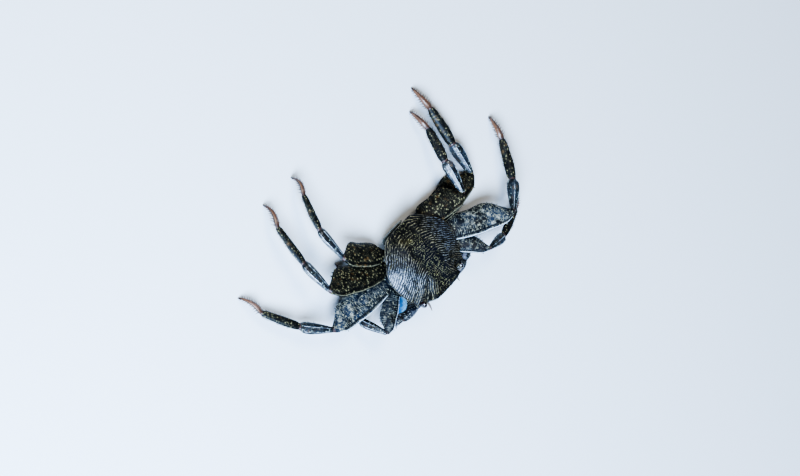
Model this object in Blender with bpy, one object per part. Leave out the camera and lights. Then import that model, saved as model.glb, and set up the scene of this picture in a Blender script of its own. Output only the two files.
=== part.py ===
"""A red rock crab at life size, still, standing on the floor in a low, braced stance.

The crab faces -Y, its left side is +X, and the floor is Z = 0. Sizes are shares of the
carapace width unless they are named in metres. Body places are written as
(left, forward, up): forward from the middle of the rear edge of the carapace, up from
the carapace's side rim.
"""

from math import cos, radians, sin, sqrt, tau
from typing import NamedTuple

import bmesh
import bpy
from mathutils import Matrix, Vector
from mathutils.bvhtree import BVHTree

# Driving dimensions
CARAPACE_WIDTH = 0.056  # metres, across the widest part
RIM_HEIGHT = 0.30  # side rim of the carapace above the floor
GAP = 0.0003  # metres, between pieces that meet
FOOT_FLAT = 0.0004  # metres, taken off each toe where it stands

# Carapace, as (half width, forward, sharp corner) from the rear middle to the front middle
CARAPACE_OUTLINE = [
    (0.0, 0.0, False),
    (0.12, 0.0, False),
    (0.21, 0.01, False),
    (0.280, 0.055, False),
    (0.385, 0.165, False),
    (0.474, 0.285, False),
    (0.500, 0.400, False),
    (0.487, 0.520, False),
    (0.455, 0.640, False),
    (0.443, 0.700, True),
    (0.420, 0.703, True),
    (0.412, 0.745, False),
    (0.402, 0.798, True),
    (0.365, 0.768, False),
    (0.325, 0.752, False),
    (0.278, 0.772, False),
    (0.256, 0.812, False),
    (0.246, 0.850, True),
    (0.16, 0.876, False),
    (0.0, 0.882, False),
]
CARAPACE_MIDDLE = 0.45  # forward place that the rings shrink towards
CARAPACE_RISE = 0.135  # top above the rim
REAR_DROP = 0.03  # rear edge below the rim
FRONT_DROP = 0.04  # bent-down front edge below the rim
CARAPACE_UNDER = 0.050  # flat underside below the rim
CARAPACE_RINGS = (0.16, 0.32, 0.48, 0.62, 0.74, 0.84, 0.93, 0.965)
LOBE_PLACES = (-0.175, -0.062, 0.062, 0.175)
LOBE_SIZE = (0.056, 0.034, 0.024)
LOBE_FORWARD, LOBE_UP = 0.836, 0.067
LOBE_CURVE = 0.25  # how much further back the outer lobes lie
RIDGE_STARTS = (-0.26, -0.18, -0.10, -0.02, 0.06, 0.14, 0.22, 0.30)
RIDGE_INNER = 0.10  # from the middle line, where the ridges start
RIDGE_STEP = 0.055
RIDGE_STEPS = 15
RIDGE_SLANT = 58  # degrees from forward, where a ridge starts
RIDGE_TURN = 46  # degrees that it has turned forward by the time it is this far out:
RIDGE_TURN_END = 0.40
RIDGE_REAR, RIDGE_FRONT = 0.03, 0.74  # the ridges keep between these, forward
RIDGE_STEEPEST = 0.4  # upward part of the shell's normal, below which a ridge ends
RIDGE_RISE = 0.00032  # metres, above the shell
RIDGE_END_RISE = -0.00016  # metres, sunk at both ends
RIDGE_DEPTH = 0.0009  # metres, root sunk into the shell
RIDGE_FOOT = 0.00108  # metres, half width of the sunk root
RIDGE_END_FOOT = 0.00038

# Thorax, as (half width, forward, sharp corner) at its top
THORAX_OUTLINE = [
    (0.0, 0.035, False),
    (0.19, 0.045, False),
    (0.275, 0.13, False),
    (0.335, 0.27, False),
    (0.35, 0.42, False),
    (0.33, 0.56, False),
    (0.28, 0.67, False),
    (0.20, 0.745, False),
    (0.0, 0.775, False),
]
THORAX_MIDDLE = 0.42
# Level by level, downwards: share of the width, share of the length, depth below the rim
THORAX_LEVELS = (
    (0.86, 1.0, 0.056),
    (0.80, 0.99, 0.090),
    (0.76, 0.97, 0.114),
    (0.75, 0.93, 0.168),
    (0.68, 0.78, 0.206),
    (0.45, 0.55, 0.222),
)
SOCKET_SECTIONS = ((0.14, 0.9), (0.04, 1.15), (0.0, 1.05))  # back from the joint, share of the arm's root


class LegSize(NamedTuple):
    arm: float  # length of the arm with its root
    wrist: float
    hand: float
    toe: float
    breadth: float  # of every section, against the fourth leg's plan
    tilt: float  # degrees that the front edge is raised
    root: tuple  # where it leaves the thorax: left, forward, up


LEG_SIZES = {
    2: LegSize(0.63, 0.32, 0.40, 0.27, 0.60, 14, (0.345, 0.470, -0.188)),
    3: LegSize(1.03, 0.38, 0.46, 0.30, 0.98, 22, (0.325, 0.386, -0.158)),
    4: LegSize(0.93, 0.40, 0.47, 0.31, 1.06, 24, (0.308, 0.262, -0.150)),
    5: LegSize(0.67, 0.40, 0.40, 0.28, 0.92, 22, (0.248, 0.145, -0.140)),
}


class LegPose(NamedTuple):
    turns: tuple  # of arm, wrist, hand and toe, in degrees forward of straight out
    heights: tuple  # of knee, wrist joint and ankle, over the rim


LEG_POSES = {
    (-1, 2): LegPose((26, -74, -106, -118), (0.0, -0.180, -0.257)),
    (-1, 3): LegPose((-6, -47, -60, -76), (-0.05, -0.130, -0.195)),
    (-1, 4): LegPose((-23, -89, -96, -116), (0.035, -0.045, -0.125)),
    (-1, 5): LegPose((-35, -91, -110, -122), (0.03, -0.030, -0.105)),
    (1, 2): LegPose((50, 12, -10, -28), (0.05, -0.060, -0.160)),
    (1, 3): LegPose((26, -36, -56, -66), (0.045, -0.070, -0.170)),
    (1, 4): LegPose((1, -88, -84, -88), (-0.210, -0.195, -0.212)),
    (1, 5): LegPose((12, -80, -70, -84), (-0.012, -0.046, -0.150)),
}
ROOT_TILT = 4

# Limb sections: share of length, width, thickness, shift to the front edge, share of the tilt
ARM_SECTIONS = (
    (0.00, 0.090, 0.074, 0.0, 0.0),
    (0.06, 0.106, 0.078, 0.0, 0.3),
    (0.11, 0.178, 0.066, 0.0, 0.9),
    (0.17, 0.248, 0.072, -0.004, 1.0),
    (0.30, 0.290, 0.084, -0.006, 1.0),
    (0.54, 0.312, 0.096, -0.008, 1.0),
    (0.70, 0.318, 0.090, -0.026, 1.0),
    (0.80, 0.276, 0.084, -0.014, 1.0),
    (0.90, 0.182, 0.072, 0.009, 1.0),
    (1.00, 0.066, 0.052, 0.0, 1.0),
)
WRIST_SECTIONS = (
    (0.00, 0.058, 0.046, 0.0, 1.0),
    (0.16, 0.080, 0.060, 0.0, 1.0),
    (0.45, 0.120, 0.076, 0.004, 1.0),
    (0.78, 0.142, 0.082, 0.006, 1.0),
    (0.93, 0.124, 0.074, 0.004, 1.0),
    (1.00, 0.084, 0.054, 0.0, 1.0),
)
HAND_SECTIONS = (
    (0.00, 0.076, 0.048, 0.0, 1.0),
    (0.10, 0.100, 0.060, 0.0, 1.0),
    (0.35, 0.114, 0.064, 0.004, 1.0),
    (0.68, 0.102, 0.058, 0.002, 1.0),
    (0.92, 0.084, 0.052, 0.0, 1.0),
    (1.00, 0.062, 0.042, 0.0, 1.0),
)
TOE_SECTIONS = (
    (0.00, 0.058, 0.040, 0.0, 1.0),
    (0.12, 0.066, 0.048, 0.0, 1.0),
    (0.35, 0.056, 0.044, 0.0, 1.0),
    (0.60, 0.043, 0.036, 0.0, 1.0),
    (0.82, 0.028, 0.025, 0.0, 1.0),
    (1.00, 0.012, 0.012, 0.0, 1.0),
)
TOE_ARCH = 0.05  # rise of the middle of a toe over its chord
SPINE_TIP = 0.22  # radius of a spine's blunt tip, as a share of its root
TOE_SPINES = 5  # in each of the two rows
TOE_SPINE_START, TOE_SPINE_STEP = 0.22, 0.135  # shares of the toe's length
TOE_SPINE_LEAN = 0.55  # towards the tip, as a share of its reach
TOE_SPINE_RADIUS = 0.0004  # metres
TOOTH_RADIUS = 0.00055  # metres, of the teeth at an arm's outer end
TOOTH_OUT, TOOTH_ALONG = 0.0006, 0.0016  # metres, from the edge to the tip
TOOTH_SUNK = 0.0011  # metres, root inside the arm
LIMB_EDGE = 0.8  # sharpness of the front and rear edges; 1 is an ellipse

COLOURS = {
    "shell": (0.020, 0.022, 0.016, 0.34, 0.0),
    "limb": (0.030, 0.030, 0.018, 0.36, 0.0),
    "claw": (0.060, 0.070, 0.100, 0.28, 0.0),
    "under": (0.250, 0.270, 0.240, 0.50, 0.0),
    "eye": (0.030, 0.012, 0.010, 0.12, 0.0),
    "stalk": (0.120, 0.100, 0.060, 0.40, 0.0),
    "toe": (0.110, 0.050, 0.025, 0.42, 0.0),
    "feeler": (0.060, 0.045, 0.035, 0.50, 0.0),
}


def clear_scene():
    for old in list(bpy.data.objects):
        bpy.data.objects.remove(old)
    for name in ("crab", "joining"):
        collection = bpy.data.collections.new(name)
        bpy.context.scene.collection.children.link(collection)


def material(kind):
    found = bpy.data.materials.get(kind)
    if found:
        return found
    made = bpy.data.materials.new(kind)
    made.use_nodes = True
    red, green, blue, rough, metal = COLOURS[kind]
    shader = made.node_tree.nodes["Principled BSDF"]
    shader.inputs["Base Color"].default_value = (red, green, blue, 1)
    shader.inputs["Roughness"].default_value = rough
    shader.inputs["Metallic"].default_value = metal
    return made


def smoothstep(low, high, value):
    share = min(1.0, max(0.0, (value - low) / (high - low)))
    return share * share * (3 - 2 * share)


def body(left, forward, up):
    """A place on the body, from shares of the carapace width, in metres."""
    return Vector((left, -forward, RIM_HEIGHT + up)) * CARAPACE_WIDTH


def heading(side, turn):
    """A level direction: straight out to one side, turned forward by so many degrees."""
    return Vector((side * cos(radians(turn)), -sin(radians(turn)), 0))


def object_from(name, mesh_builder, kind, collection="crab"):
    mesh = bpy.data.meshes.new(name)
    bmesh.ops.recalc_face_normals(mesh_builder, faces=mesh_builder.faces)
    mesh_builder.to_mesh(mesh)
    mesh_builder.free()
    made = bpy.data.objects.new(name, mesh)
    made.data.materials.append(material(kind))
    bpy.data.collections[collection].objects.link(made)
    return made


def loft(name, rings, kind, collection="crab"):
    """A closed body through rings of points; a ring of one point is a tip."""
    builder = bmesh.new()
    made = [[builder.verts.new(point) for point in ring] for ring in rings]
    for first, second in zip(made, made[1:]):
        count = max(len(first), len(second))
        for i in range(count):
            j = (i + 1) % count
            corners = [first[k % len(first)] for k in (i, j)] + [second[k % len(second)] for k in (j, i)]
            builder.faces.new(list(dict.fromkeys(corners)))
    for ring in (made[0], made[-1]):
        if len(ring) > 2:
            builder.faces.new(ring)
    return object_from(name, builder, kind, collection)


def section(middle, across, over, half_width, half_thickness, sides, edge=1.0):
    """A ring of points; an edge under 1 makes its two ends sharper than an ellipse."""
    ring = []
    for i in range(sides):
        angle = tau * i / sides
        thickness = abs(sin(angle)) ** (1 / edge) * (1 if sin(angle) >= 0 else -1)
        ring.append(middle + across * cos(angle) * half_width + over * thickness * half_thickness)
    return ring


def frame_of(direction, side, tilt):
    """The way across a limb, to its front edge, and the way over it, raised by the tilt."""
    up = (Vector((0, 0, 1)) - direction * direction.z).normalized()
    ahead = direction.cross(up) * side
    turn = radians(tilt)
    return ahead * cos(turn) + up * sin(turn), up * cos(turn) - ahead * sin(turn)


def onto_plane(ring, along, point, normal):
    """Slides a ring's points along a direction until they lie on a plane."""
    return [p + along * ((point - p).dot(normal) / along.dot(normal)) for p in ring]


def limb_rings(start, end, sections, side, tilts, scale, sides, ends, arch=0.0):
    """Rings of one limb segment, cut at each end on the plane that halves the bend."""
    along = (end - start).normalized()
    length = (end - start).length
    rings = []
    for share, width, thickness, shift, tilt_share in sections:
        tilt = tilts[0] + (tilts[1] - tilts[0]) * tilt_share
        across, over = frame_of(along, side, tilt)
        rise = arch * 4 * share * (1 - share)
        middle = start + along * length * share + (across * shift * scale + over * rise) * CARAPACE_WIDTH
        half = Vector((width, thickness)) * scale * CARAPACE_WIDTH / 2
        rings.append(section(middle, across, over, half.x, half.y, sides, LIMB_EDGE))
    halves = [(along + (way or along)).normalized() for way in ends]
    rings[0] = onto_plane(rings[0], along, start + along * GAP / 2, halves[0])
    rings[-1] = onto_plane(rings[-1], along, end - along * GAP / 2, halves[1])
    return rings


def chain(side, root, lengths, turns, heights):
    """The joints of a limb from its root out, from lengths, turns and heights over the rim."""
    joints = [body(side * root[0], root[1], root[2])]
    for length, turn, height in zip(lengths, turns, heights):
        drop = (RIM_HEIGHT + height) * CARAPACE_WIDTH - joints[-1].z
        run = sqrt((length * CARAPACE_WIDTH) ** 2 - drop**2)
        joints.append(joints[-1] + heading(side, turn) * run + Vector((0, 0, drop)))
    return joints


def leg_joints(side, pair):
    """Root, knee, wrist, ankle and toe tip of one leg; the tip is on the floor."""
    size, pose = LEG_SIZES[pair], LEG_POSES[(side, pair)]
    lengths = (size.arm, size.wrist, size.hand, size.toe)
    return chain(side, size.root, lengths, pose.turns, (*pose.heights, -RIM_HEIGHT))


def limb_scale(breadth, part):
    """Wrists, hands and toes vary less in breadth from leg to leg than the arms do."""
    return breadth if part == 0 else 1 + (breadth - 1) * 0.5


def cone(base, tip, radius, sides=5):
    """A spine: a cone with its root ring at the base and a small blunt tip."""
    along = (tip - base).normalized()
    across = along.orthogonal().normalized()
    over = along.cross(across)
    rings = [section(base, across, over, radius, radius, sides)]
    rings.append(section(tip, across, over, radius * SPINE_TIP, radius * SPINE_TIP, sides))
    loft("spine", rings, "toe", "joining")


def keep_largest(made):
    """Drops all but the largest closed surface of a mesh."""
    builder = bmesh.new()
    builder.from_mesh(made.data)
    left, groups = set(builder.verts), []
    while left:
        queue, group = [left.pop()], []
        while queue:
            vert = queue.pop()
            group.append(vert)
            for edge in vert.link_edges:
                other = edge.other_vert(vert)
                if other in left:
                    left.remove(other)
                    queue.append(other)
        groups.append(group)

    def spread(group):
        lows = [min(v.co[i] for v in group) for i in range(3)]
        highs = [max(v.co[i] for v in group) for i in range(3)]
        return (Vector(highs) - Vector(lows)).length

    groups.sort(key=spread)
    for group in groups[:-1]:
        bmesh.ops.delete(builder, geom=group, context="VERTS")
    builder.to_mesh(made.data)
    builder.free()


def fuse(made):
    """Joins a body with all that waits in the joining collection, in one step."""
    joining = bpy.data.collections["joining"]
    modifier = made.modifiers.new("union", "BOOLEAN")
    modifier.operation = "UNION"
    modifier.operand_type = "COLLECTION"
    modifier.collection = joining
    modifier.solver = "EXACT"
    graph = bpy.context.evaluated_depsgraph_get()
    made.data = bpy.data.meshes.new_from_object(made.evaluated_get(graph), depsgraph=graph)
    made.modifiers.remove(modifier)
    for piece in list(joining.objects):
        bpy.data.objects.remove(piece)
    keep_largest(made)


def outline_points(corners, steps):
    """A closed outline from a half one: smooth through its points, cornered at the sharp ones."""
    half = []
    for i in range(len(corners) - 1):
        start, end = Vector(corners[i][:2]), Vector(corners[i + 1][:2])
        before = Vector(corners[i - 1][:2]) if i and not corners[i][2] else None
        after = Vector(corners[i + 2][:2]) if i + 2 < len(corners) and not corners[i + 1][2] else None
        if i == 0:
            before = Vector((-corners[1][0], corners[1][1]))
        if i + 2 == len(corners):
            after = Vector((-corners[i][0], corners[i][1]))
        slope_in = (end - before) / 2 if before else end - start
        slope_out = (after - start) / 2 if after else end - start
        pieces = max(1, round((end - start).length / steps))
        for k in range(pieces):
            t = k / pieces
            square, cube = t * t, t**3
            half.append(
                start * (2 * cube - 3 * square + 1)
                + slope_in * (cube - 2 * square + t)
                + end * (3 * square - 2 * cube)
                + slope_out * (cube - square)
            )
    half.append(Vector(corners[-1][:2]))
    return half + [Vector((-p.x, p.y)) for p in reversed(half[1:-1])]


def carapace_height(share, edge):
    """Height over the rim at a share of the way out to a point of the outline."""
    front = smoothstep(0.80, 0.85, edge.y) * smoothstep(0.30, 0.24, abs(edge.x))
    rear = smoothstep(0.30, 0.0, edge.y)
    rim = -REAR_DROP * rear * share**2
    sides = CARAPACE_RISE * (1 - share**2.5) + rim
    ahead = CARAPACE_RISE * (1 - 0.44 * share**3)
    bent = smoothstep(0.955, 1.0, share)
    ahead = ahead * (1 - bent) - FRONT_DROP * bent
    return sides * (1 - front) + ahead * front


def carapace_ring(outline, share, up=None):
    ring = []
    for edge in outline:
        forward = CARAPACE_MIDDLE + (edge.y - CARAPACE_MIDDLE) * share
        height = carapace_height(share, edge) if up is None else up
        ring.append(body(edge.x * share, forward, height))
    return ring


def make_carapace():
    outline = outline_points(CARAPACE_OUTLINE, 0.06)
    top = [body(0, CARAPACE_MIDDLE, CARAPACE_RISE)]
    rings = [top] + [carapace_ring(outline, share) for share in (*CARAPACE_RINGS, 1.0)]
    rings += [carapace_ring(outline, 0.93, -0.034), carapace_ring(outline, 0.80, -CARAPACE_UNDER)]
    shell = loft("carapace", rings, "shell")
    frontal_lobes()
    shell_ridges(shell)
    fuse(shell)


def frontal_lobes():
    """Four low, rounded plates along the top of the bent-down front."""
    size = Matrix.Diagonal(Vector(LOBE_SIZE) * CARAPACE_WIDTH).to_4x4()
    for place in LOBE_PLACES:
        builder = bmesh.new()
        middle = body(place, LOBE_FORWARD - LOBE_CURVE * place * place, LOBE_UP)
        spot = Matrix.Translation(middle) @ size
        bmesh.ops.create_uvsphere(builder, u_segments=10, v_segments=6, radius=1.0, matrix=spot)
        object_from("lobe", builder, "shell", "joining")


def shell_ridges(shell):
    """Slanting ridges of the gill regions, from near the middle out and forward to the rim."""
    tree = BVHTree.FromObject(shell, bpy.context.evaluated_depsgraph_get())
    down = Vector((0, 0, -1))
    for side in (-1, 1):
        for start in RIDGE_STARTS:
            out, ahead = RIDGE_INNER, start
            path = []
            for _ in range(RIDGE_STEPS):
                hit, normal, _, _ = tree.ray_cast(body(side * out, ahead, 0.5), down)
                if hit is not None and normal.z > RIDGE_STEEPEST and RIDGE_REAR < ahead < RIDGE_FRONT:
                    path.append((hit, normal))
                slant = radians(RIDGE_SLANT - RIDGE_TURN * min(1, out / RIDGE_TURN_END))
                out += sin(slant) * RIDGE_STEP
                ahead += cos(slant) * RIDGE_STEP
            if len(path) >= 4:
                ridge_on(path)


def ridge_on(path):
    """A low bar of three sides, laid along points of the shell and tapered at both ends."""
    rings = []
    last = len(path) - 1
    for i, (hit, normal) in enumerate(path):
        along = (path[min(i + 1, last)][0] - path[max(i - 1, 0)][0]).normalized()
        across = along.cross(normal).normalized()
        at_end = i in (0, last)
        top = hit + normal * (RIDGE_END_RISE if at_end else RIDGE_RISE)
        foot = hit - normal * RIDGE_DEPTH
        reach = across * (RIDGE_END_FOOT if at_end else RIDGE_FOOT)
        rings.append([top, foot + reach, foot - reach])
    loft("ridge", rings, "shell", "joining")


def make_thorax():
    outline = outline_points(THORAX_OUTLINE, 0.09)
    rings = []
    for wide, long, depth in THORAX_LEVELS:
        middle = THORAX_MIDDLE * (1 - long)
        rings.append([body(p.x * wide, middle + p.y * long, -depth) for p in outline])
    thorax = loft("thorax", rings, "under")
    for side in (-1, 1):
        for pair, size in LEG_SIZES.items():
            _, width, thickness, _, _ = ARM_SECTIONS[0]
            socket(leg_joints(side, pair), width * size.breadth, thickness * size.breadth, side)
        _, width, thickness, _, _ = CLAW_ARM_SECTIONS[0]
        socket(claw_joints(side), width, thickness, side)
    fuse(thorax)


def socket(joints, width, thickness, side):
    """The short first joint of a limb, grown from the thorax, with a flat outer face."""
    along = (joints[1] - joints[0]).normalized()
    across, over = frame_of(along, side, ROOT_TILT)
    rings = []
    for back, share in SOCKET_SECTIONS:
        middle = joints[0] - along * (back * CARAPACE_WIDTH + GAP / 2)
        half = Vector((width, thickness)) * share * CARAPACE_WIDTH / 2
        rings.append(section(middle, across, over, half.x, half.y, 10, 0.9))
    loft("socket", rings, "under", "joining")


ABDOMEN_PATH = (  # forward, up, half width, half thickness of the tail's plates
    (0.014, -0.092, 0.120, 0.011),
    (0.018, -0.130, 0.150, 0.013),
    (0.038, -0.176, 0.160, 0.014),
    (0.096, -0.222, 0.155, 0.013),
    (0.190, -0.2430, 0.130, 0.012),
    (0.280, -0.2420, 0.100, 0.012),
    (0.380, -0.2420, 0.074, 0.012),
    (0.480, -0.2420, 0.050, 0.012),
    (0.540, -0.2410, 0.022, 0.011),
)


def make_abdomen():
    """The tail, folded round the rear of the thorax and flat under it."""
    middles = [body(0, forward, up) for forward, up, _, _ in ABDOMEN_PATH]
    rings = []
    for i, (_, _, half_width, half_thickness) in enumerate(ABDOMEN_PATH):
        along = (middles[min(i + 1, len(middles) - 1)] - middles[max(i - 1, 0)]).normalized()
        across = Vector((1, 0, 0))
        over = along.cross(across)
        size = half_width * CARAPACE_WIDTH, half_thickness * CARAPACE_WIDTH
        rings.append(section(middles[i], across, over, size[0], size[1], 12, 0.8))
    return loft("abdomen", rings, "under")


def make_leg(side, pair):
    joints = leg_joints(side, pair)
    ways = [(b - a).normalized() for a, b in zip(joints, joints[1:])]
    name = f"leg_{'left' if side > 0 else 'right'}_{pair}"
    size = LEG_SIZES[pair]
    specs = (
        ("arm", ARM_SECTIONS, "limb", 12, ROOT_TILT, 0.0),
        ("wrist", WRIST_SECTIONS, "limb", 10, size.tilt, 0.0),
        ("hand", HAND_SECTIONS, "limb", 10, size.tilt, 0.0),
        ("toe", TOE_SECTIONS, "toe", 8, size.tilt, TOE_ARCH),
    )
    for i, (part, sections, kind, sides, first_tilt, arch) in enumerate(specs):
        tilts = (first_tilt, size.tilt)
        breadth = limb_scale(size.breadth, i)
        ends = ways[i - 1] if i else None, ways[i + 1] if i < 3 else None
        rings = limb_rings(joints[i], joints[i + 1], sections, side, tilts, breadth, sides, ends, arch)
        if part == "toe":
            rings[-1] = [Vector((p.x, p.y, 0.0)) for p in rings[-1]]
            rings[-2] = [Vector((p.x, p.y, max(p.z, FOOT_FLAT))) for p in rings[-2]]
        segment = loft(f"{name}_{part}", rings, kind)
        if part == "toe":
            toe_spines(joints[3], joints[4], side, breadth, size.tilt)
            fuse(segment)
        if part == "arm":
            arm_teeth(rings, pair)
            fuse(segment)


def toe_spines(start, end, side, scale, tilt):
    """Two rows of short spines down the toe, leaning to its tip."""
    along = (end - start).normalized()
    across, over = frame_of(along, side, tilt)
    for row in (-1, 1):
        for k in range(TOE_SPINES):
            share = TOE_SPINE_START + TOE_SPINE_STEP * k + 0.03 * (row > 0)
            rise = TOE_ARCH * 4 * share * (1 - share) * CARAPACE_WIDTH
            base = start + (end - start) * share + over * rise
            out = (across * row + over * 0.5).normalized()
            reach = (0.046 - 0.024 * share) * scale * CARAPACE_WIDTH
            tip = base + out * reach + along * reach * TOE_SPINE_LEAN
            cone(base + out * reach * 0.1, tip, TOE_SPINE_RADIUS)


def arm_teeth(rings, pair):
    """Small teeth at the outer end of a leg's arm, one in front and two or three behind."""
    first, second = rings[7], rings[8]
    inner = sum(first, Vector()) / len(first)
    outer = sum(second, Vector()) / len(second)
    along = (outer - inner).normalized()
    rear_count = 0 if pair == 5 else 3
    places = [(0, 0.55)] + [(len(first) // 2, 0.15 + 0.36 * k) for k in range(rear_count)]
    for corner, share in places:
        edge = first[corner].lerp(second[corner], share)
        out = (edge - inner.lerp(outer, share)).normalized()
        cone(edge - out * TOOTH_SUNK, edge + out * TOOTH_OUT + along * TOOTH_ALONG, TOOTH_RADIUS)


CLAW_ROOT = (0.252, 0.662, -0.152)
CLAW_LENGTHS = (0.38, 0.15, 0.21)  # arm, wrist, palm
CLAW_POSES = {  # turns forward of straight out in degrees, heights of elbow, wrist and knuckle
    -1: LegPose((8, 125, 178), (-0.190, -0.198, -0.205)),
    1: LegPose((18, 124, 178), (-0.192, -0.198, -0.205)),
}
FINGER_REACH = 0.155
FINGER_SUNK = 0.05  # root of the fixed finger inside the palm
FINGER_BOW = 0.045
FINGER_SECTIONS = (  # share of length, width, thickness
    (0.0, 0.060, 0.054),
    (0.3, 0.056, 0.050),
    (0.6, 0.048, 0.040),
    (0.85, 0.042, 0.028),
    (1.0, 0.030, 0.014),
)
FIXED_UP, MOVING_UP = -0.036, 0.038  # finger roots, over the middle of the palm
CLAW_TILT = 15  # degrees, of the claw's arm and wrist
CLAW_ARM_SECTIONS = [
    (0.00, 0.094, 0.080, 0.0, 0.0),
    (0.22, 0.112, 0.088, 0.0, 0.3),
    (0.52, 0.168, 0.096, 0.0, 0.8),
    (0.78, 0.142, 0.088, -0.026, 1.0),
    (0.91, 0.086, 0.068, -0.026, 1.0),
    (1.00, 0.042, 0.046, 0.0, 1.0),
]
CLAW_WRIST_SECTIONS = [
    (0.00, 0.042, 0.044, 0.0, 1.0),
    (0.28, 0.080, 0.088, -0.020, 1.0),
    (0.58, 0.120, 0.104, -0.020, 1.0),
    (0.82, 0.098, 0.088, -0.010, 1.0),
    (1.00, 0.050, 0.048, 0.0, 1.0),
]
PALM_SECTIONS = [
    (0.00, 0.050, 0.052, 0.0, 1.0),
    (0.22, 0.092, 0.108, 0.0, 1.0),
    (0.50, 0.108, 0.150, 0.0, 1.0),
    (0.82, 0.104, 0.156, 0.0, 1.0),
    (1.00, 0.088, 0.138, 0.0, 1.0),
]


def claw_joints(side):
    return chain(side, CLAW_ROOT, CLAW_LENGTHS, CLAW_POSES[side].turns, CLAW_POSES[side].heights)


def finger(name, root, along, over, across, bow, reach, collection="crab"):
    """A claw finger: its root, a bow away from the other finger, and a blunt spooned tip."""
    rings = []
    for share, width, thickness in FINGER_SECTIONS:
        swing = bow * (2 * share * (1 - share) - share * 0.62)
        middle = root + (along * reach * share + over * swing) * CARAPACE_WIDTH
        half = Vector((width, thickness)) * CARAPACE_WIDTH / 2
        rings.append(section(middle, across, over, half.x, half.y, 8))
    loft(name, rings, "claw", collection)


def make_claw(side):
    joints = claw_joints(side)
    ways = [(b - a).normalized() for a, b in zip(joints, joints[1:])]
    name = f"claw_{'left' if side > 0 else 'right'}"
    tilts = (ROOT_TILT, CLAW_TILT)
    arm = limb_rings(joints[0], joints[1], CLAW_ARM_SECTIONS, side, tilts, 1.0, 10, (None, ways[1]))
    loft(f"{name}_arm", arm, "limb")
    tilts = (CLAW_TILT, CLAW_TILT)
    wrist = limb_rings(joints[1], joints[2], CLAW_WRIST_SECTIONS, side, tilts, 1.0, 10, (ways[0], ways[2]))
    wrist_body = loft(f"{name}_wrist", wrist, "claw")
    inward = frame_of(ways[1], side, CLAW_TILT)[0] * -1
    middle = joints[1].lerp(joints[2], 0.62)
    cone(middle + inward * 0.002, middle + inward * 0.0062 + ways[1] * 0.0015, 0.0010)
    fuse(wrist_body)
    palm = limb_rings(joints[2], joints[3], PALM_SECTIONS, side, (0, 0), 1.0, 12, (ways[1], None))
    palm_body = loft(f"{name}_palm", palm, "claw")
    across, over = frame_of(ways[2], side, 0)
    low_root = joints[3] + (over * FIXED_UP - ways[2] * FINGER_SUNK) * CARAPACE_WIDTH
    high_root = joints[3] + over * MOVING_UP * CARAPACE_WIDTH + ways[2] * GAP / 2
    finger("fixed", low_root, ways[2], over, across, -FINGER_BOW, FINGER_REACH + FINGER_SUNK, "joining")
    fuse(palm_body)
    finger(f"{name}_finger", high_root, ways[2], over, across, FINGER_BOW, FINGER_REACH)


EYE_ROOT = (0.270, 0.806, -0.004)
EYE_END = (0.352, 0.818, 0.010)
STALK_SECTIONS = ((0.0, 0.026), (0.25, 0.033), (0.52, 0.036))  # share of length, radius
EYE_SECTIONS = ((0.52, 0.038), (0.68, 0.0415), (0.86, 0.037), (0.97, 0.023))


def make_eye(side):
    """A short stalk that fills the inner half of the orbit, and the eye on its end."""
    start, end = (body(side * p[0], p[1], p[2]) for p in (EYE_ROOT, EYE_END))
    along = (end - start).normalized()
    length = (end - start).length
    across, over = frame_of(along, side, 0)
    name = "left" if side > 0 else "right"
    stalk, eye = [], []
    for rings, sections, gap in ((stalk, STALK_SECTIONS, 0.0), (eye, EYE_SECTIONS, GAP)):
        for share, radius in sections:
            middle = start + along * (length * share + gap)
            size = radius * CARAPACE_WIDTH
            rings.append(section(middle, across, over, size, size, 10))
    eye.append([end + along * GAP])
    loft(f"eyestalk_{name}", stalk, "stalk")
    loft(f"eye_{name}", eye, "eye")


FEELERS = (  # root, tip and thickness of the outer and the inner feeler
    ("antenna", (0.222, 0.776, -0.094), (0.245, 0.965, -0.070), 0.030),
    ("antennule", (0.085, 0.794, -0.098), (0.105, 0.905, -0.105), 0.026),
)
FEELER_SECTIONS = ((0.0, 1.0), (0.2, 0.95), (0.32, 0.6), (0.6, 0.36), (1.0, 0.18))
FEELER_THINNEST = 0.00026  # metres, radius
FEELER_ARCH = 0.10


def make_feelers(side):
    """The outer feeler beside the eye, and the small inner one under the front edge."""
    name = "left" if side > 0 else "right"
    for label, root, tip, thick in FEELERS:
        start, end = (body(side * p[0], p[1], p[2]) for p in (root, tip))
        across, over = frame_of((end - start).normalized(), side, 0)
        rings = []
        for share, taper in FEELER_SECTIONS:
            middle = start.lerp(end, share) + over * FEELER_ARCH * share * (1 - share) * CARAPACE_WIDTH
            size = max(thick * taper * CARAPACE_WIDTH, FEELER_THINNEST)
            rings.append(section(middle, across, over, size, size, 8))
        loft(f"{label}_{name}", rings, "feeler")


MOUTH_PATH = (  # forward, up, left, half width, half thickness
    (0.655, -0.232, 0.075, 0.030, 0.012),
    (0.700, -0.218, 0.082, 0.046, 0.015),
    (0.745, -0.198, 0.080, 0.042, 0.015),
    (0.785, -0.172, 0.074, 0.046, 0.016),
    (0.812, -0.140, 0.066, 0.034, 0.014),
    (0.818, -0.118, 0.060, 0.016, 0.009),
)


def make_mouthpart(side):
    """One of the two outer mouth plates, hinged at the rear and gaping at the middle."""
    name = "left" if side > 0 else "right"
    across = Vector((side, 0.25, 0)).normalized()
    over = Vector((0, -0.6, -0.8))
    rings = []
    for forward, up, left, half_width, half_thickness in MOUTH_PATH:
        size = half_width * CARAPACE_WIDTH, half_thickness * CARAPACE_WIDTH
        rings.append(section(body(side * left, forward, up), across, over, size[0], size[1], 8))
    loft(f"mouthpart_{name}", rings, "under")


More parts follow.
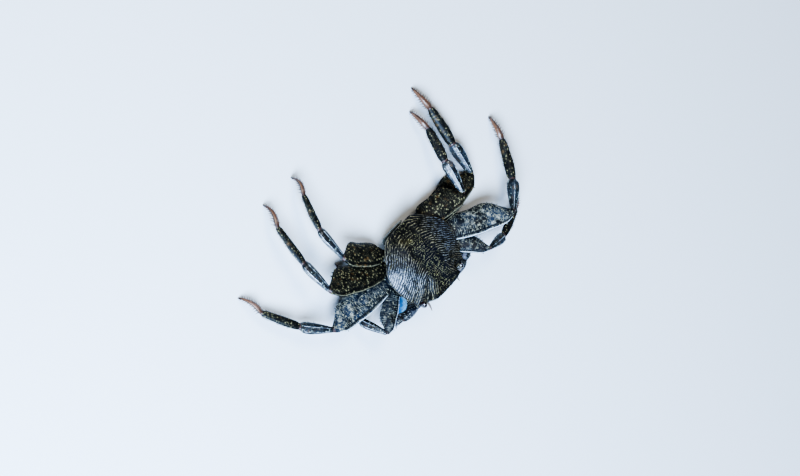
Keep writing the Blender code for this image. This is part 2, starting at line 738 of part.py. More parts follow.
def centre_on_floor():
    """Moves the whole crab so that its bounding box stands centred on the origin."""
    made = bpy.data.collections["crab"].objects
    corners = [o.matrix_world @ v.co for o in made for v in o.data.vertices]
    lows = [min(c[i] for c in corners) for i in range(3)]
    highs = [max(c[i] for c in corners) for i in range(3)]
    shift = Vector((-(lows[0] + highs[0]) / 2, -(lows[1] + highs[1]) / 2, -lows[2]))
    for o in made:
        o.location = shift
    print("shift", [round(x, 6) for x in shift])


def main():
    clear_scene()
    make_carapace()
    make_thorax()
    make_abdomen()
    for side in (-1, 1):
        for pair in LEG_SIZES:
            make_leg(side, pair)
        make_claw(side)
        make_eye(side)
        make_feelers(side)
        make_mouthpart(side)
    centre_on_floor()
    for o in bpy.data.collections["crab"].objects:
        o.data.shade_smooth()


main()
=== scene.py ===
# A still, life-size red rock crab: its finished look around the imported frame
from math import cos, radians, sin, sqrt, tau

import bpy
import numpy as np
from mathutils import Matrix, Vector
from mathutils.bvhtree import BVHTree


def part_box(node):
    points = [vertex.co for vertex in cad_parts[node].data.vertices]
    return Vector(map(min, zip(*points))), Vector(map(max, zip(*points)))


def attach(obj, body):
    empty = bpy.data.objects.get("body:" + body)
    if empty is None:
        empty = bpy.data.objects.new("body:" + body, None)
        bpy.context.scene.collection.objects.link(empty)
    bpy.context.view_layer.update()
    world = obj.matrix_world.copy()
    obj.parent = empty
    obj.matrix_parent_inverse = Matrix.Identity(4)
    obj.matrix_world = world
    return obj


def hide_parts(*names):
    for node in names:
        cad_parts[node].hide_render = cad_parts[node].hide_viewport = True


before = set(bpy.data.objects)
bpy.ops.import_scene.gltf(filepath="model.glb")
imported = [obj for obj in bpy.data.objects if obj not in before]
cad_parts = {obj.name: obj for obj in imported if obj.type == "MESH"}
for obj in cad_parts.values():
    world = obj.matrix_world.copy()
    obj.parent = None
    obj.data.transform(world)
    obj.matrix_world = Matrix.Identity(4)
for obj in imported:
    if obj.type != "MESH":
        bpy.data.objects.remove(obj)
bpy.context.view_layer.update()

# The body's own measures. The shell's width and the gap between the solids are in metres, and the
# tilt of the limbs' roots in degrees. The rim's height, places and sizes are shares of the width.
crab = {"width": 0.056, "rimHeight": 0.30, "gap": 0.0003, "rootTilt": 4}
width = crab["width"]
shellLow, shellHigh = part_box("carapace")
origin = np.array(((shellLow[0] + shellHigh[0]) / 2, shellHigh[1], crab["rimHeight"] * width))
sideNames = {-1: "right", 1: "left"}
hashPrimes = (73856093, 19349663, 83492791, 2654435761, 1274126177)
edgePower = 1.25  # how lens-like a limb's section is, over 1 for sharper edges


def place(left, ahead, up):  # left of the middle, ahead of the rear edge, over the side rim
    parts = np.broadcast_arrays(left, -np.asarray(ahead, float), up)
    return origin + np.stack(parts, -1) * width


def unit(ways):
    return ways / np.linalg.norm(ways, axis=-1, keepdims=True)


def ease(low, high, value):  # from 0 at low to 1 at high, which may be the lower one, and level beyond
    share = np.clip((value - low) / (high - low), 0.0, 1.0)
    return share * share * (3 - 2 * share)


def bump(value, spread):  # a rounded ridge where the value is 0
    return np.exp(-((value / spread) ** 2))


def wave(phase, power=1.0):  # rounded crests from 0 to 1, one for each whole number
    return (0.5 + 0.5 * np.cos(tau * phase)) ** power


def atLeast(low, value):  # squeezes 0 to 1 into low to 1
    return low + (1 - low) * value


def rounded(toEnd, reach, least):  # a round end: how far a section is open, by its distance to the end
    return np.sqrt(np.clip(1 - (1 - np.clip(toEnd / reach, 0, 1)) ** 2, least, 1))


def circle(columns, start=0.0):  # angles round a section, with their cosines and sines
    angles = tau * np.arange(columns) / columns + start
    return angles, np.cos(angles), np.sin(angles)


def lensed(sines):  # pulls a round section to a lens with sharp edges
    return np.sign(sines) * np.abs(sines) ** edgePower


def noise(points, cell, seed=0):  # smooth, from -1 to 1, with cells of the given size
    spots = np.asarray(points, float) / cell + 31.7 * (seed + 1)
    base = np.floor(spots).astype(np.int64)
    part = ease(0, 1, spots - base)
    total = np.zeros(spots.shape[:-1])
    a, b, c, d, e = hashPrimes
    for corner in range(8):
        step = np.array((corner & 1, corner >> 1 & 1, corner >> 2 & 1))
        x, y, z = np.moveaxis(base + step, -1, 0)
        mixed = (x * a) ^ (y * b) ^ (z * c) ^ ((seed + 3) * d)
        mixed = (mixed ^ (mixed >> 13)) * e
        value = ((mixed ^ (mixed >> 16)) & 0xFFFF) / 32767.5 - 1
        total += np.prod(np.where(step == 1, part, 1 - part), axis=-1) * value
    return total


def noises(points, layers, seed=0):  # layers of noise, by cell, own seed and strength
    return sum(noise(points, cell, seed + own) * strength for cell, own, strength in layers)


def grains(points, cell, seed, power=1.0):  # separate grains from 0 to 1
    return np.clip(noise(points, cell, seed), 0, 1) ** power


def curve(t, start, slopeOn, end, slopeOff):  # a smooth run from start to end, with its slope at both
    return (
        start * (2 * t**3 - 3 * t**2 + 1)
        + slopeOn * (t**3 - 2 * t**2 + t)
        + end * (3 * t**2 - 2 * t**3)
        + slopeOff * (t**3 - t**2)
    )


def smoothRows(rows, shares):  # reads a table of sections as one smooth curve, by its first column
    table = np.array(rows, float)
    keys, values = table[:, 0], table[:, 1:]
    slopes = np.gradient(values, keys, axis=0)
    spot = np.clip(np.searchsorted(keys, shares, side="right") - 1, 0, len(keys) - 2)
    span = (keys[spot + 1] - keys[spot])[:, None]
    t = (shares - keys[spot])[:, None] / span
    return curve(t, values[spot], slopes[spot] * span, values[spot + 1], slopes[spot + 1] * span)


def evenRows(rows, shares):  # the same, where the rows are evenly spaced
    return smoothRows([(i / (len(rows) - 1), *row) for i, row in enumerate(rows)], shares)


# Meshes: a sculpture gathers skins and spikes, then becomes one piece
def gridFaces(rows, columns):  # four-sided faces over closed rings of points
    index = np.arange(rows * columns).reshape(rows, columns)
    turned = np.roll(index, -1, axis=1)
    return np.stack((index[:-1], turned[:-1], turned[1:], index[1:]), -1).reshape(-1, 4)


def marksFor(rings, crest=0, edge=0, share=0, sheen=0):  # what the finishes read at each point
    marks = np.zeros((*rings.shape[:2], 4))
    for i, value in enumerate((crest, edge, share, sheen)):
        marks[..., i] = value
    return marks


class Sculpture:
    def __init__(self, rings=None, marks=None):
        self.points, self.faces, self.marks, self.count = [], [], [], 0
        if rings is not None:
            self.skin(rings, marks)

    def add(self, points, marks):  # gives the number of the first new point
        points = points.reshape(-1, 3)
        self.points.append(points)
        self.marks.append(np.broadcast_to(marks, (len(points), 4)))
        self.count += len(points)
        return self.count - len(points)

    def skin(self, rings, marks, ends=(True, True)):  # a closed skin over rings of points
        rows, columns = rings.shape[:2]
        marks = np.broadcast_to(np.asarray(marks, float), (rows, columns, 4)).reshape(-1, 4)
        first = self.add(rings, marks)
        self.faces += (gridFaces(rows, columns) + first).tolist()
        for row, wanted in zip((0, rows - 1), ends):
            if wanted:
                rim = first + row * columns + np.arange(columns)
                pair = (np.roll(rim, -1), rim) if row == 0 else (rim, np.roll(rim, -1))
                hub = self.add(rings[row].mean(axis=0), marks[row * columns])
                self.faces += np.stack((*pair, np.full(columns, hub)), -1).tolist()

    def spikes(self, roots, tips, radius, sides, bend=0.0, marks=(0, 0, 0, 1), steps=4):
        along = unit(tips - roots)
        spare = np.where(np.abs(along[:, 2:3]) < 0.9, (0.0, 0.0, 1.0), (1.0, 0.0, 0.0))
        across = unit(np.cross(along, spare))
        over = np.cross(along, across)
        shares = np.linspace(0, 1, steps)
        _, c, s = circle(sides)
        turn = across[:, None] * c[:, None] + over[:, None] * s[:, None]
        sizes = radius * (1 - shares) ** 0.8 + 0.000012  # thins out to a fine tip
        lengths = np.linalg.norm(tips - roots, axis=1)
        spine = roots[:, None] + (tips - roots)[:, None] * shares[:, None]
        spine = spine + over[:, None] * (bend * lengths[:, None] * shares * (1 - shares))[..., None]
        for ring in spine[:, :, None] + turn[:, None] * sizes[:, None, None]:
            self.skin(ring, marks)

    def make(self, name, finish, slot, *nodes):
        mesh = bpy.data.meshes.new(name)
        mesh.from_pydata(np.concatenate(self.points), [], self.faces)
        mesh.update()
        marks = mesh.color_attributes.new("marks", "FLOAT_COLOR", "POINT")
        marks.data.foreach_set("color", np.concatenate(self.marks).astype(np.float32).ravel())
        mesh.shade_smooth()
        mesh.materials.append(finish)
        piece = bpy.data.objects.new(name, mesh)
        bpy.context.scene.collection.objects.link(piece)
        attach(piece, "root")
        if nodes:
            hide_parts(*nodes)
        return piece


# Materials: shader maths written as expressions
plainSockets = {"Coat Weight": 0.0, "Coat Roughness": 0.1}  # where a look doesn't say


class Socket:
    def __init__(self, paint, source):
        self.paint, self.source = paint, source

    def other(self, name):  # another output of the same node
        return Socket(self.paint, self.source.node.outputs[name])

    def maths(self, operation, first, second):
        return self.paint.node("ShaderNodeMath", {"operation": operation}, {0: first, 1: second})

    def __add__(self, other):
        return self.maths("ADD", self, other)

    def __sub__(self, other):
        return self.maths("SUBTRACT", self, other)

    def __mul__(self, other):
        return self.maths("MULTIPLY", self, other)

    def __radd__(self, other):
        return self.maths("ADD", other, self)

    def __rsub__(self, other):
        return self.maths("SUBTRACT", other, self)

    def __rmul__(self, other):
        return self.maths("MULTIPLY", other, self)

    def __neg__(self):
        return self.maths("MULTIPLY", self, -1.0)


class Paint:  # one material, made from a dictionary of its colours and patterns
    def __init__(self, name, look):
        self.look = look
        self.material = bpy.data.materials.new(name)
        self.material.use_nodes = True
        self.tree = self.material.node_tree
        self.place = self.node("ShaderNodeTexCoord", {}, {}, "Object")
        marks = self.node("ShaderNodeAttribute", {"attribute_name": "marks"}, {}, "Color")
        self.sheen = marks.other("Alpha")
        parts = self.node("ShaderNodeSeparateColor", {}, {0: marks})
        self.crest, self.edge, self.share = (parts.other(i) for i in range(3))

    def node(self, kind, settings, sockets, output=0):
        made = self.tree.nodes.new(kind)
        for key, value in settings.items():
            setattr(made, key, value)
        self.fill(made, sockets)
        return Socket(self, made.outputs[output])

    def fill(self, node, sockets):  # links sockets, and sets numbers and colours
        for key, value in sockets.items():
            socket = node.inputs[key]
            if isinstance(value, Socket):
                self.tree.links.new(value.source, socket)
            else:
                socket.default_value = (*value, 1) if socket.type == "RGBA" else value

    def tone(self, colour):  # a colour by its name in the look, or as it is
        return self.look[colour] if isinstance(colour, str) else colour

    def mix(self, share, first, second):  # colours, from first to second
        sockets = {0: share, 6: self.tone(first), 7: self.tone(second)}
        return self.node("ShaderNodeMix", {"data_type": "RGBA"}, sockets, 2)

    def layers(self, colour, *coats):  # colours laid over one another, each through its mask
        for mask, over in coats:
            colour = self.mix(mask, colour, over)
        return colour

    def cloud(self, scale, detail=3.0, output=0):  # scales are in cells per metre
        sockets = {"Vector": self.place, "Scale": scale, "Detail": detail, "Roughness": 0.55}
        return self.node("ShaderNodeTexNoise", {}, sockets, output)

    def step(self, value, low, high):  # 0 below low, 1 above high, smooth between
        smooth = {"interpolation_type": "SMOOTHSTEP"}
        return self.node("ShaderNodeMapRange", smooth, {0: value, 1: low, 2: high})

    def patches(self, name):  # soft patches, by scale, where they begin and are full, and detail
        scale, low, high, *detail = self.look[name]
        return self.step(self.cloud(scale, *detail), low, high)

    def cells(self, scale, warp=0.0, jitter=1.0, feature="F1"):
        spot = self.place
        if warp:
            drift = self.cloud(scale * 0.6, 2.0, 1)
            bent = {0: drift, 1: (warp, warp, warp), 2: spot}
            spot = self.node("ShaderNodeVectorMath", {"operation": "MULTIPLY_ADD"}, bent)
        sockets = {"Vector": spot, "Scale": scale, "Randomness": jitter}
        return self.node("ShaderNodeTexVoronoi", {"feature": feature}, sockets)

    def spots(self, scale, inner, outer, warp=0.0004, ragged=0.28, jitter=1.0):  # 1 inside, 0 between
        spots = self.cells(scale, warp, jitter)
        if ragged:
            spots = spots + (self.cloud(scale * 3.1) - 0.5) * ragged
        return 1 - self.step(spots, inner, outer)

    def finish(self, colour, rough, height=None, **sockets):
        look = self.look
        sockets = {**plainSockets, **look.get("sockets", {}), **sockets}
        sockets.update({"Base Color": colour, "Roughness": rough})
        if height is not None:
            relief = {"Strength": 1.0, "Distance": look["depth"], "Height": height}
            sockets["Normal"] = self.node("ShaderNodeBump", {}, relief)
        self.fill(self.tree.nodes["Principled BSDF"], sockets)
        return self.material


# Finishes, each with its look: colours, patterns, depth of its bump, and the shader's own sockets
shellLook = {
    "dark": (0.0030, 0.0032, 0.0030), "blue": (0.0045, 0.0056, 0.0090), "olive": (0.040, 0.031, 0.008),
    # sky: the sky-blue tint that the lines take on the flanks, a painted sheen
    "line": (0.235, 0.188, 0.100), "sky": (0.175, 0.185, 0.200), "dot": (0.29, 0.255, 0.105),
    "fleck": (0.135, 0.120, 0.060), "rim": (0.26, 0.22, 0.15), "under": (0.20, 0.23, 0.20),
    "finePerMetre": 1500, "bluePatches": (60, 0.35, 0.7, 2.0), "olivePatches": (95, 0.60, 0.78),
    "lineFrom": (0.30, 0.72), "lineBreaks": (1100, 0.36, 0.54), "flecks": (900, 0.24, 0.42),
    "fleckPatches": (360, 0.32, 0.54, 2.0), "dots": (620, 0.12, 0.25), "dotPatches": (300, 0.46, 0.62, 2.0),
    "rimWear": (420, 0.36, 0.60), "underPatches": (0.35, 0.65), "pitsPerMetre": 3200,
    "coat": (0.02, 1.0),  # least and most
    "coatPatches": (500, 0.24, 0.56), "depth": 0.00013,
    "sockets": {"Coat Roughness": 0.31, "Coat IOR": 1.75, "Specular IOR Level": 0.12},
}


def shellFinish():  # nearly black, with pale lines and dots; on the flanks a glossier coat and a painted bluish sheen, where the lines are painted sky-blue and brighter
    look, paint = shellLook, Paint("shellFinish", shellLook)
    fine = paint.cloud(look["finePerMetre"])
    line = paint.step(paint.crest, *look["lineFrom"]) * atLeast(0.15, paint.patches("lineBreaks"))
    fleck = paint.spots(*look["flecks"]) * paint.patches("fleckPatches") * (0.30 - 0.60 * paint.share)
    dot = paint.spots(*look["dots"]) * paint.patches("dotPatches")
    colour = paint.layers(
        paint.mix(paint.patches("bluePatches"), "dark", "blue"),
        (paint.patches("olivePatches") * 0.8, "olive"),
        # painted sheen: where the sheen mask is high, the pale lines are painted brighter and tinted sky-blue
        (line * atLeast(0.72, paint.sheen), paint.mix(paint.sheen, "line", "sky")),
        (fleck, "fleck"),
        (dot * (0.45 - 0.4 * paint.share), "dot"),
        (paint.edge * paint.patches("rimWear"), "rim"),
        (paint.share, paint.mix(paint.step(fine, *look["underPatches"]) * 0.5, "under", "dark")),
    )
    height = fine * 0.6 + fleck * 0.7 + dot * 0.5 + line * 0.5 + paint.cloud(look["pitsPerMetre"], 2.0) * 0.3
    least, most = look["coat"]
    coat = least + (most - least) * paint.sheen * paint.patches("coatPatches") * atLeast(0.42, line)
    return paint.finish(colour, 0.36 + 0.26 * fine + 0.08 * line, height, **{"Coat Weight": coat})


rearArmLook = {
    "dark": (0.0032, 0.0034, 0.0034), "tint": (0.0060, 0.0062, 0.0050), "net": (0.095, 0.083, 0.042),
    "dot": (0.255, 0.222, 0.115), "blotch": (0.20, 0.105, 0.035), "crest": (0.14, 0.13, 0.08),
    "edge": (0.22, 0.20, 0.13), "netPerMetre": 430, "netWide": 0.09, "dotsPerMetre": 520, "dotSize": 0.38,
    "blotchesPerMetre": 300, "pale": 0.75, "netShare": 0.35, "dotShare": 0.72, "speckShare": 0.32,
    "blotchShare": 0.6, "crestShare": 0.3, "edgeShare": 0.5, "finePerMetre": 1700, "driftPerMetre": 130,
    "outerPerMetre": 170,
    "outerFrom": (0.62, 1.05),  # where along the limb it turns paler
    "tintDrift": (0.40, 0.66), "netPatches": (330, 0.40, 0.58, 2.0), "netBreaks": (900, 0.34, 0.54),
    "blotchSize": (0.22, 0.46), "blotchDrift": (0.45, 0.58), "blotchBreaks": (0.36, 0.56),
    "dotPatches": (380, 0.26, 0.48, 2.0), "speckPatches": (260, 0.36, 0.60, 2.0), "crestFrom": (0.42, 0.88),
    "crestBreaks": (700, 0.36, 0.56), "hollowFrom": (0.15, 0.50), "edgeFrom": (0.40, 0.85),
    "edgeBreaks": (600, 0.34, 0.52),
    "warps": (0.0011, 0.0022, 0.0009),  # of net, blotches and dots
    "depth": 0.00012, "coat": 0.03,
    "sockets": {"Coat Roughness": 0.30, "Specular IOR Level": 0.13},
}
# a lighter, bluish copy of the rear arms' look: the pale net and blotches are the arm's own pattern, the
# bluish ground and tint a painted sky sheen, the white edge line a painted highlight; the looks built on it
# carry the same painted sheen and highlight
foreArmLook = {
    **rearArmLook,
    "dark": (0.0040, 0.0058, 0.0085), "tint": (0.015, 0.026, 0.044), "net": (0.29, 0.27, 0.19),
    "dot": (0.35, 0.325, 0.22), "blotch": (0.47, 0.45, 0.36), "blotchesPerMetre": 230,
    "crest": (0.36, 0.37, 0.31), "edge": (0.62, 0.68, 0.70), "dotSize": 0.30, "netWide": 0.11, "pale": 1.0,
    "netShare": 0.75, "blotchShare": 0.7, "speckShare": 0.25, "crestShare": 0.4, "edgeShare": 0.85,
    "coat": 0.12,
}
frontArmLook = {
    **foreArmLook,
    "net": (0.21, 0.195, 0.135), "dot": (0.27, 0.25, 0.165), "pale": 0.35, "netShare": 0.65,
}
# the bluish ground and tint are a painted sheen, and the white ridge lines and front edge are painted
# highlights
wristLook = {
    **rearArmLook,
    "dark": (0.0036, 0.0048, 0.0066), "tint": (0.016, 0.028, 0.044), "dot": (0.30, 0.34, 0.28),
    "crest": (0.68, 0.75, 0.80), "coat": 0.85, "edge": (0.46, 0.52, 0.54), "dotSize": 0.30, "netShare": 0.3,
    "dotShare": 0.7, "crestShare": 0.95, "edgeShare": 0.7,
}
# the pale ridge lines and front edge line are painted highlights
handLook = {
    **rearArmLook,
    "dark": (0.0040, 0.0044, 0.0050), "tint": (0.012, 0.016, 0.016), "crest": (0.26, 0.27, 0.22),
    "edge": (0.42, 0.45, 0.40), "dotSize": 0.30, "netShare": 0.3, "dotShare": 0.7, "crestShare": 0.55,
    "edgeShare": 0.8,
}
clawLook = {
    **foreArmLook,
    "dark": (0.0050, 0.0060, 0.0085), "tint": (0.020, 0.026, 0.042), "net": (0.24, 0.23, 0.20),
    "dot": (0.38, 0.38, 0.32), "blotch": (0.20, 0.17, 0.20), "edge": (0.46, 0.47, 0.44), "netPerMetre": 900,
    "netShare": 0.45, "dotsPerMetre": 760, "speckShare": 0.5, "coat": 0.22,
}


def limbFinish(name, look):  # dark ground, pale net, blotches, ragged dots, ridge lines, a bright front edge painted as a highlight, and painted shade in the hollow beside it
    paint = Paint(name, look)
    fine, drift = paint.cloud(look["finePerMetre"]), paint.cloud(look["driftPerMetre"])
    netWarp, blotchWarp, dotWarp = look["warps"]
    outer = paint.share + paint.cloud(look["outerPerMetre"], 2.0) * 0.8
    outer = paint.step(outer, *look["outerFrom"]) * look["pale"]
    network = paint.cells(look["netPerMetre"], netWarp, feature="DISTANCE_TO_EDGE")
    patch = paint.patches("netPatches") * paint.patches("netBreaks")
    net = (1 - paint.step(network, 0.02, look["netWide"])) * patch * atLeast(0.35, outer)
    blotch = paint.spots(look["blotchesPerMetre"], *look["blotchSize"], blotchWarp, 0)
    blotch = blotch * paint.step(drift, *look["blotchDrift"]) * outer
    blotch = blotch * paint.step(fine, *look["blotchBreaks"])
    dot = paint.spots(look["dotsPerMetre"], 0.16, look["dotSize"], dotWarp, 0.36)
    dot = dot * paint.patches("dotPatches")
    speck = paint.spots(look["dotsPerMetre"] * 1.9, 0.18, 0.36) * paint.patches("speckPatches")
    crest = paint.step(paint.crest, *look["crestFrom"]) * atLeast(0.35, paint.patches("crestBreaks"))
    # bright: the tops of the edge ridges painted pale, a painted highlight
    bright = paint.step(paint.edge, *look["edgeFrom"]) * atLeast(0.55, paint.patches("edgeBreaks"))
    colour = paint.layers(
        "dark",
        (paint.step(drift, *look["tintDrift"]) * atLeast(0.25, outer), "tint"),
        (net * look["netShare"], "net"),
        (blotch * look["blotchShare"], "blotch"),
        (dot * look["dotShare"], "dot"),
        (speck * look["speckShare"], "dot"),
        (crest * look["crestShare"], "crest"),
        # painted shade: the hollow beside the front edge painted dark
        (paint.step(-paint.edge, *look["hollowFrom"]) * 0.85, "dark"),
        (bright * look["edgeShare"], "edge"),
    )
    height = fine * 0.45 + dot * 0.6 + speck * 0.4 + net * 0.35
    return paint.finish(colour, 0.32 + 0.24 * fine + 0.10 * dot, height, **{"Coat Weight": look["coat"]})


toeLook = {
    "root": (0.055, 0.026, 0.016), "middle": (0.130, 0.050, 0.024), "line": (0.36, 0.22, 0.12),
    "tip": (0.030, 0.016, 0.010), "spine": (0.020, 0.012, 0.010), "finePerMetre": 1400,
    "streaks": (520, 0.42, 0.68), "rootEnds": (0.0, 0.30), "tipBegins": (0.80, 0.97), "depth": 0.00006,
    "sockets": {"Coat Weight": 0.3, "Coat Roughness": 0.2},
}


def toeFinish():  # reddish brown, darker to the horny tip, with paler lines along it
    look, paint = toeLook, Paint("toeFinish", toeLook)
    fine = paint.cloud(look["finePerMetre"])
    colour = paint.layers(
        "root",
        (paint.step(paint.share, *look["rootEnds"]), "middle"),
        (paint.patches("streaks") * 0.6, "root"),
        (paint.crest * 0.7, "line"),
        (paint.step(paint.share, *look["tipBegins"]), "tip"),
        (paint.edge, "spine"),
    )
    return paint.finish(colour, 0.34 + 0.22 * fine, fine)


underLook = {
    "pale": (0.27, 0.26, 0.19), "shade": (0.105, 0.120, 0.105), "stain": (0.14, 0.085, 0.045),
    "groove": (0.030, 0.024, 0.018), "dark": (0.014, 0.016, 0.016), "finePerMetre": 1300,
    "shadePatches": (190, 0.38, 0.62, 4.0), "stainPatches": (420, 0.52, 0.70), "specks": (900, 0.16, 0.32),
    "speckPatches": (240, 0.40, 0.60, 2.0), "sideSpots": (620, 0.18, 0.36), "swellsPerMetre": 520,
    "depth": 0.00014,
    "sockets": {"Coat Weight": 0.08, "Coat Roughness": 0.3, "Specular IOR Level": 0.35},
}


def underFinish():  # the pale underside, darker in its grooves and spotted to the sides
    look, paint = underLook, Paint("underFinish", underLook)
    fine = paint.cloud(look["finePerMetre"])
    speck = paint.spots(*look["specks"], ragged=0) * paint.patches("speckPatches")
    spot = paint.spots(*look["sideSpots"], ragged=0, jitter=0.95)
    colour = paint.layers(
        "pale",
        (paint.patches("shadePatches"), "shade"),
        (paint.patches("stainPatches") * 0.6, "stain"),
        (speck * 0.7, "dark"),
        (paint.crest, "groove"),
        (paint.edge, paint.mix(spot * 0.7, "dark", "pale")),
    )
    height = fine + speck * 0.4 + paint.cloud(look["swellsPerMetre"]) * 1.2
    return paint.finish(colour, 0.44 + 0.2 * fine, height)


clawTipLook = {
    "root": clawLook["tint"], "white": (0.50, 0.48, 0.42), "shade": (0.20, 0.15, 0.13),
    "tooth": (0.62, 0.60, 0.54), "finePerMetre": 1100, "whiteBegins": (0.40, 0.92),
    "shadePatches": (0.45, 0.75), "depth": 0.00005,
    "sockets": {"Coat Weight": 0.6, "Coat Roughness": 0.1},
}


def clawTipFinish():  # smooth fingers, paler and warmer to the tips
    look, paint = clawTipLook, Paint("clawFinishTip", clawTipLook)
    fine = paint.cloud(look["finePerMetre"])
    colour = paint.layers(
        "root",
        (paint.step(paint.share, *look["whiteBegins"]), "white"),
        (paint.step(fine, *look["shadePatches"]) * 0.5 * (1 - paint.share), "shade"),
        (paint.edge, "tooth"),
    )
    return paint.finish(colour, 0.26 + 0.16 * fine, fine)


lensLook = {
    "deep": (0.016, 0.066, 0.145), "bright": (0.115, 0.255, 0.340), "rim": (0.40, 0.50, 0.54),
    "driftPerMetre": 420, "finePerMetre": 1500, "brightFrom": (0.10, 1.0), "deepPatches": (0.45, 0.62),
    "depth": 0.00004,
    "sockets": {"Coat Weight": 0.7, "Coat Roughness": 0.08},
}


def lensFinish():  # the smooth blue oval on the arm of each claw, painted brighter to one side as a highlight
    look, paint = lensLook, Paint("lensFinish", lensLook)
    drift, fine = paint.cloud(look["driftPerMetre"]) - 0.5, paint.cloud(look["finePerMetre"], 2.0)
    colour = paint.layers(
        "deep",
        # painted highlight: one side of the oval painted brighter
        (paint.step(paint.crest + drift * 1.4, *look["brightFrom"]), "bright"),
        (paint.step(fine, *look["deepPatches"]) * 0.5, "deep"),
        (paint.edge * (0.5 + drift), "rim"),
    )
    return paint.finish(colour, 0.20 + 0.1 * fine, fine)


skinLook = {
    "red": (0.050, 0.017, 0.013), "pink": (0.105, 0.046, 0.034), "fold": (0.016, 0.008, 0.007),
    "driftPerMetre": 420, "pinkFrom": (0.36, 0.66), "creasesPerMetre": 2200, "depth": 0.00005,
    "sockets": {"Coat Weight": 0.35, "Coat Roughness": 0.2},
}


def skinFinish():  # the wrinkled reddish skin in the joints
    look, paint = skinLook, Paint("jointSkinFinish", skinLook)
    drift = paint.cloud(look["driftPerMetre"])
    flesh = paint.mix(paint.step(drift, *look["pinkFrom"]), "red", "pink")
    creases = paint.cloud(look["creasesPerMetre"], 2.0)
    return paint.finish(paint.mix(paint.crest, "fold", flesh), 0.38 + 0.2 * drift, creases)


eyeLook = {
    "deep": (0.006, 0.004, 0.005), "glow": (0.022, 0.008, 0.010), "band": (0.060, 0.050, 0.036),
    "glowPatches": (700, 0.40, 0.70, 2.0), "facetsPerMetre": 9000, "finePerMetre": 900, "depth": 0.00002,
    "sockets": {"Coat Weight": 1.0, "Coat Roughness": 0.03},
}


def eyeFinish():  # a dark red eye with its fine facets
    look, paint = eyeLook, Paint("eyeFinish", eyeLook)
    facets = paint.cells(look["facetsPerMetre"], 0.0, 0.15, "DISTANCE_TO_EDGE")
    colour = paint.layers("deep", (paint.patches("glowPatches"), "glow"), (paint.edge * 0.8, "band"))
    return paint.finish(colour, 0.10 + 0.06 * paint.cloud(look["finePerMetre"]), facets)


stalkLook = {
    "pale": (0.17, 0.15, 0.09), "dark": (0.012, 0.013, 0.012), "line": (0.24, 0.21, 0.14),
    "mottlesPerMetre": 1500, "darkFrom": (0.25, 0.55), "depth": 0.00005,
    "sockets": {"Coat Weight": 0.4, "Coat Roughness": 0.2},
}


def stalkFinish():  # mottled, with a pale line below the eye
    look, paint = stalkLook, Paint("stalkFinish", stalkLook)
    mottle = paint.cells(look["mottlesPerMetre"], 0.0004)
    colour = paint.layers("pale", (paint.step(mottle, *look["darkFrom"]), "dark"), (paint.crest, "line"))
    return paint.finish(colour, 0.36 + 0.2 * mottle, mottle)


feelerLook = {
    "dark": (0.045, 0.026, 0.018), "ring": (0.19, 0.12, 0.075), "ringFrom": (0.35, 0.75),
    "finePerMetre": 1500, "pitsPerMetre": 2500, "depth": 0.00003,
    "sockets": {"Coat Weight": 0.2, "Coat Roughness": 0.3},
}


def feelerFinish():  # brown, with pale rings between the beads
    look, paint = feelerLook, Paint("feelerFinish", feelerLook)
    colour = paint.mix(paint.step(paint.crest, *look["ringFrom"]), "dark", "ring")
    rough = 0.42 + 0.2 * paint.cloud(look["finePerMetre"])
    return paint.finish(colour, rough, paint.cloud(look["pitsPerMetre"]))


bristleLook = {
    "root": (0.016, 0.011, 0.008), "tip": (0.085, 0.056, 0.032), "tipPatches": (1800, 0.35, 0.7, 2.0),
    "finePerMetre": 900,
}


def bristleFinish():
    look, paint = bristleLook, Paint("bristleFinish", bristleLook)
    colour = paint.mix(paint.patches("tipPatches"), "root", "tip")
    return paint.finish(colour, 0.40 + 0.2 * paint.cloud(look["finePerMetre"]))


armShades = {
    2: limbFinish("frontArmFinish", frontArmLook),
    3: limbFinish("foreArmFinish", foreArmLook),
    4: limbFinish("rearArmFinish", rearArmLook),
}
armShades[5] = armShades[4]
legShades = {
    "wrist": limbFinish("wristFinish", wristLook), "hand": limbFinish("handFinish", handLook),
    "toe": toeFinish(),
}
clawShade, clawTipShade, lensShade = limbFinish("clawFinish", clawLook), clawTipFinish(), lensFinish()
underShade, skinShade, bristleShade = underFinish(), skinFinish(), bristleFinish()
stalkShade, eyeShade, feelerShade = stalkFinish(), eyeFinish(), feelerFinish()
print("finishes made")

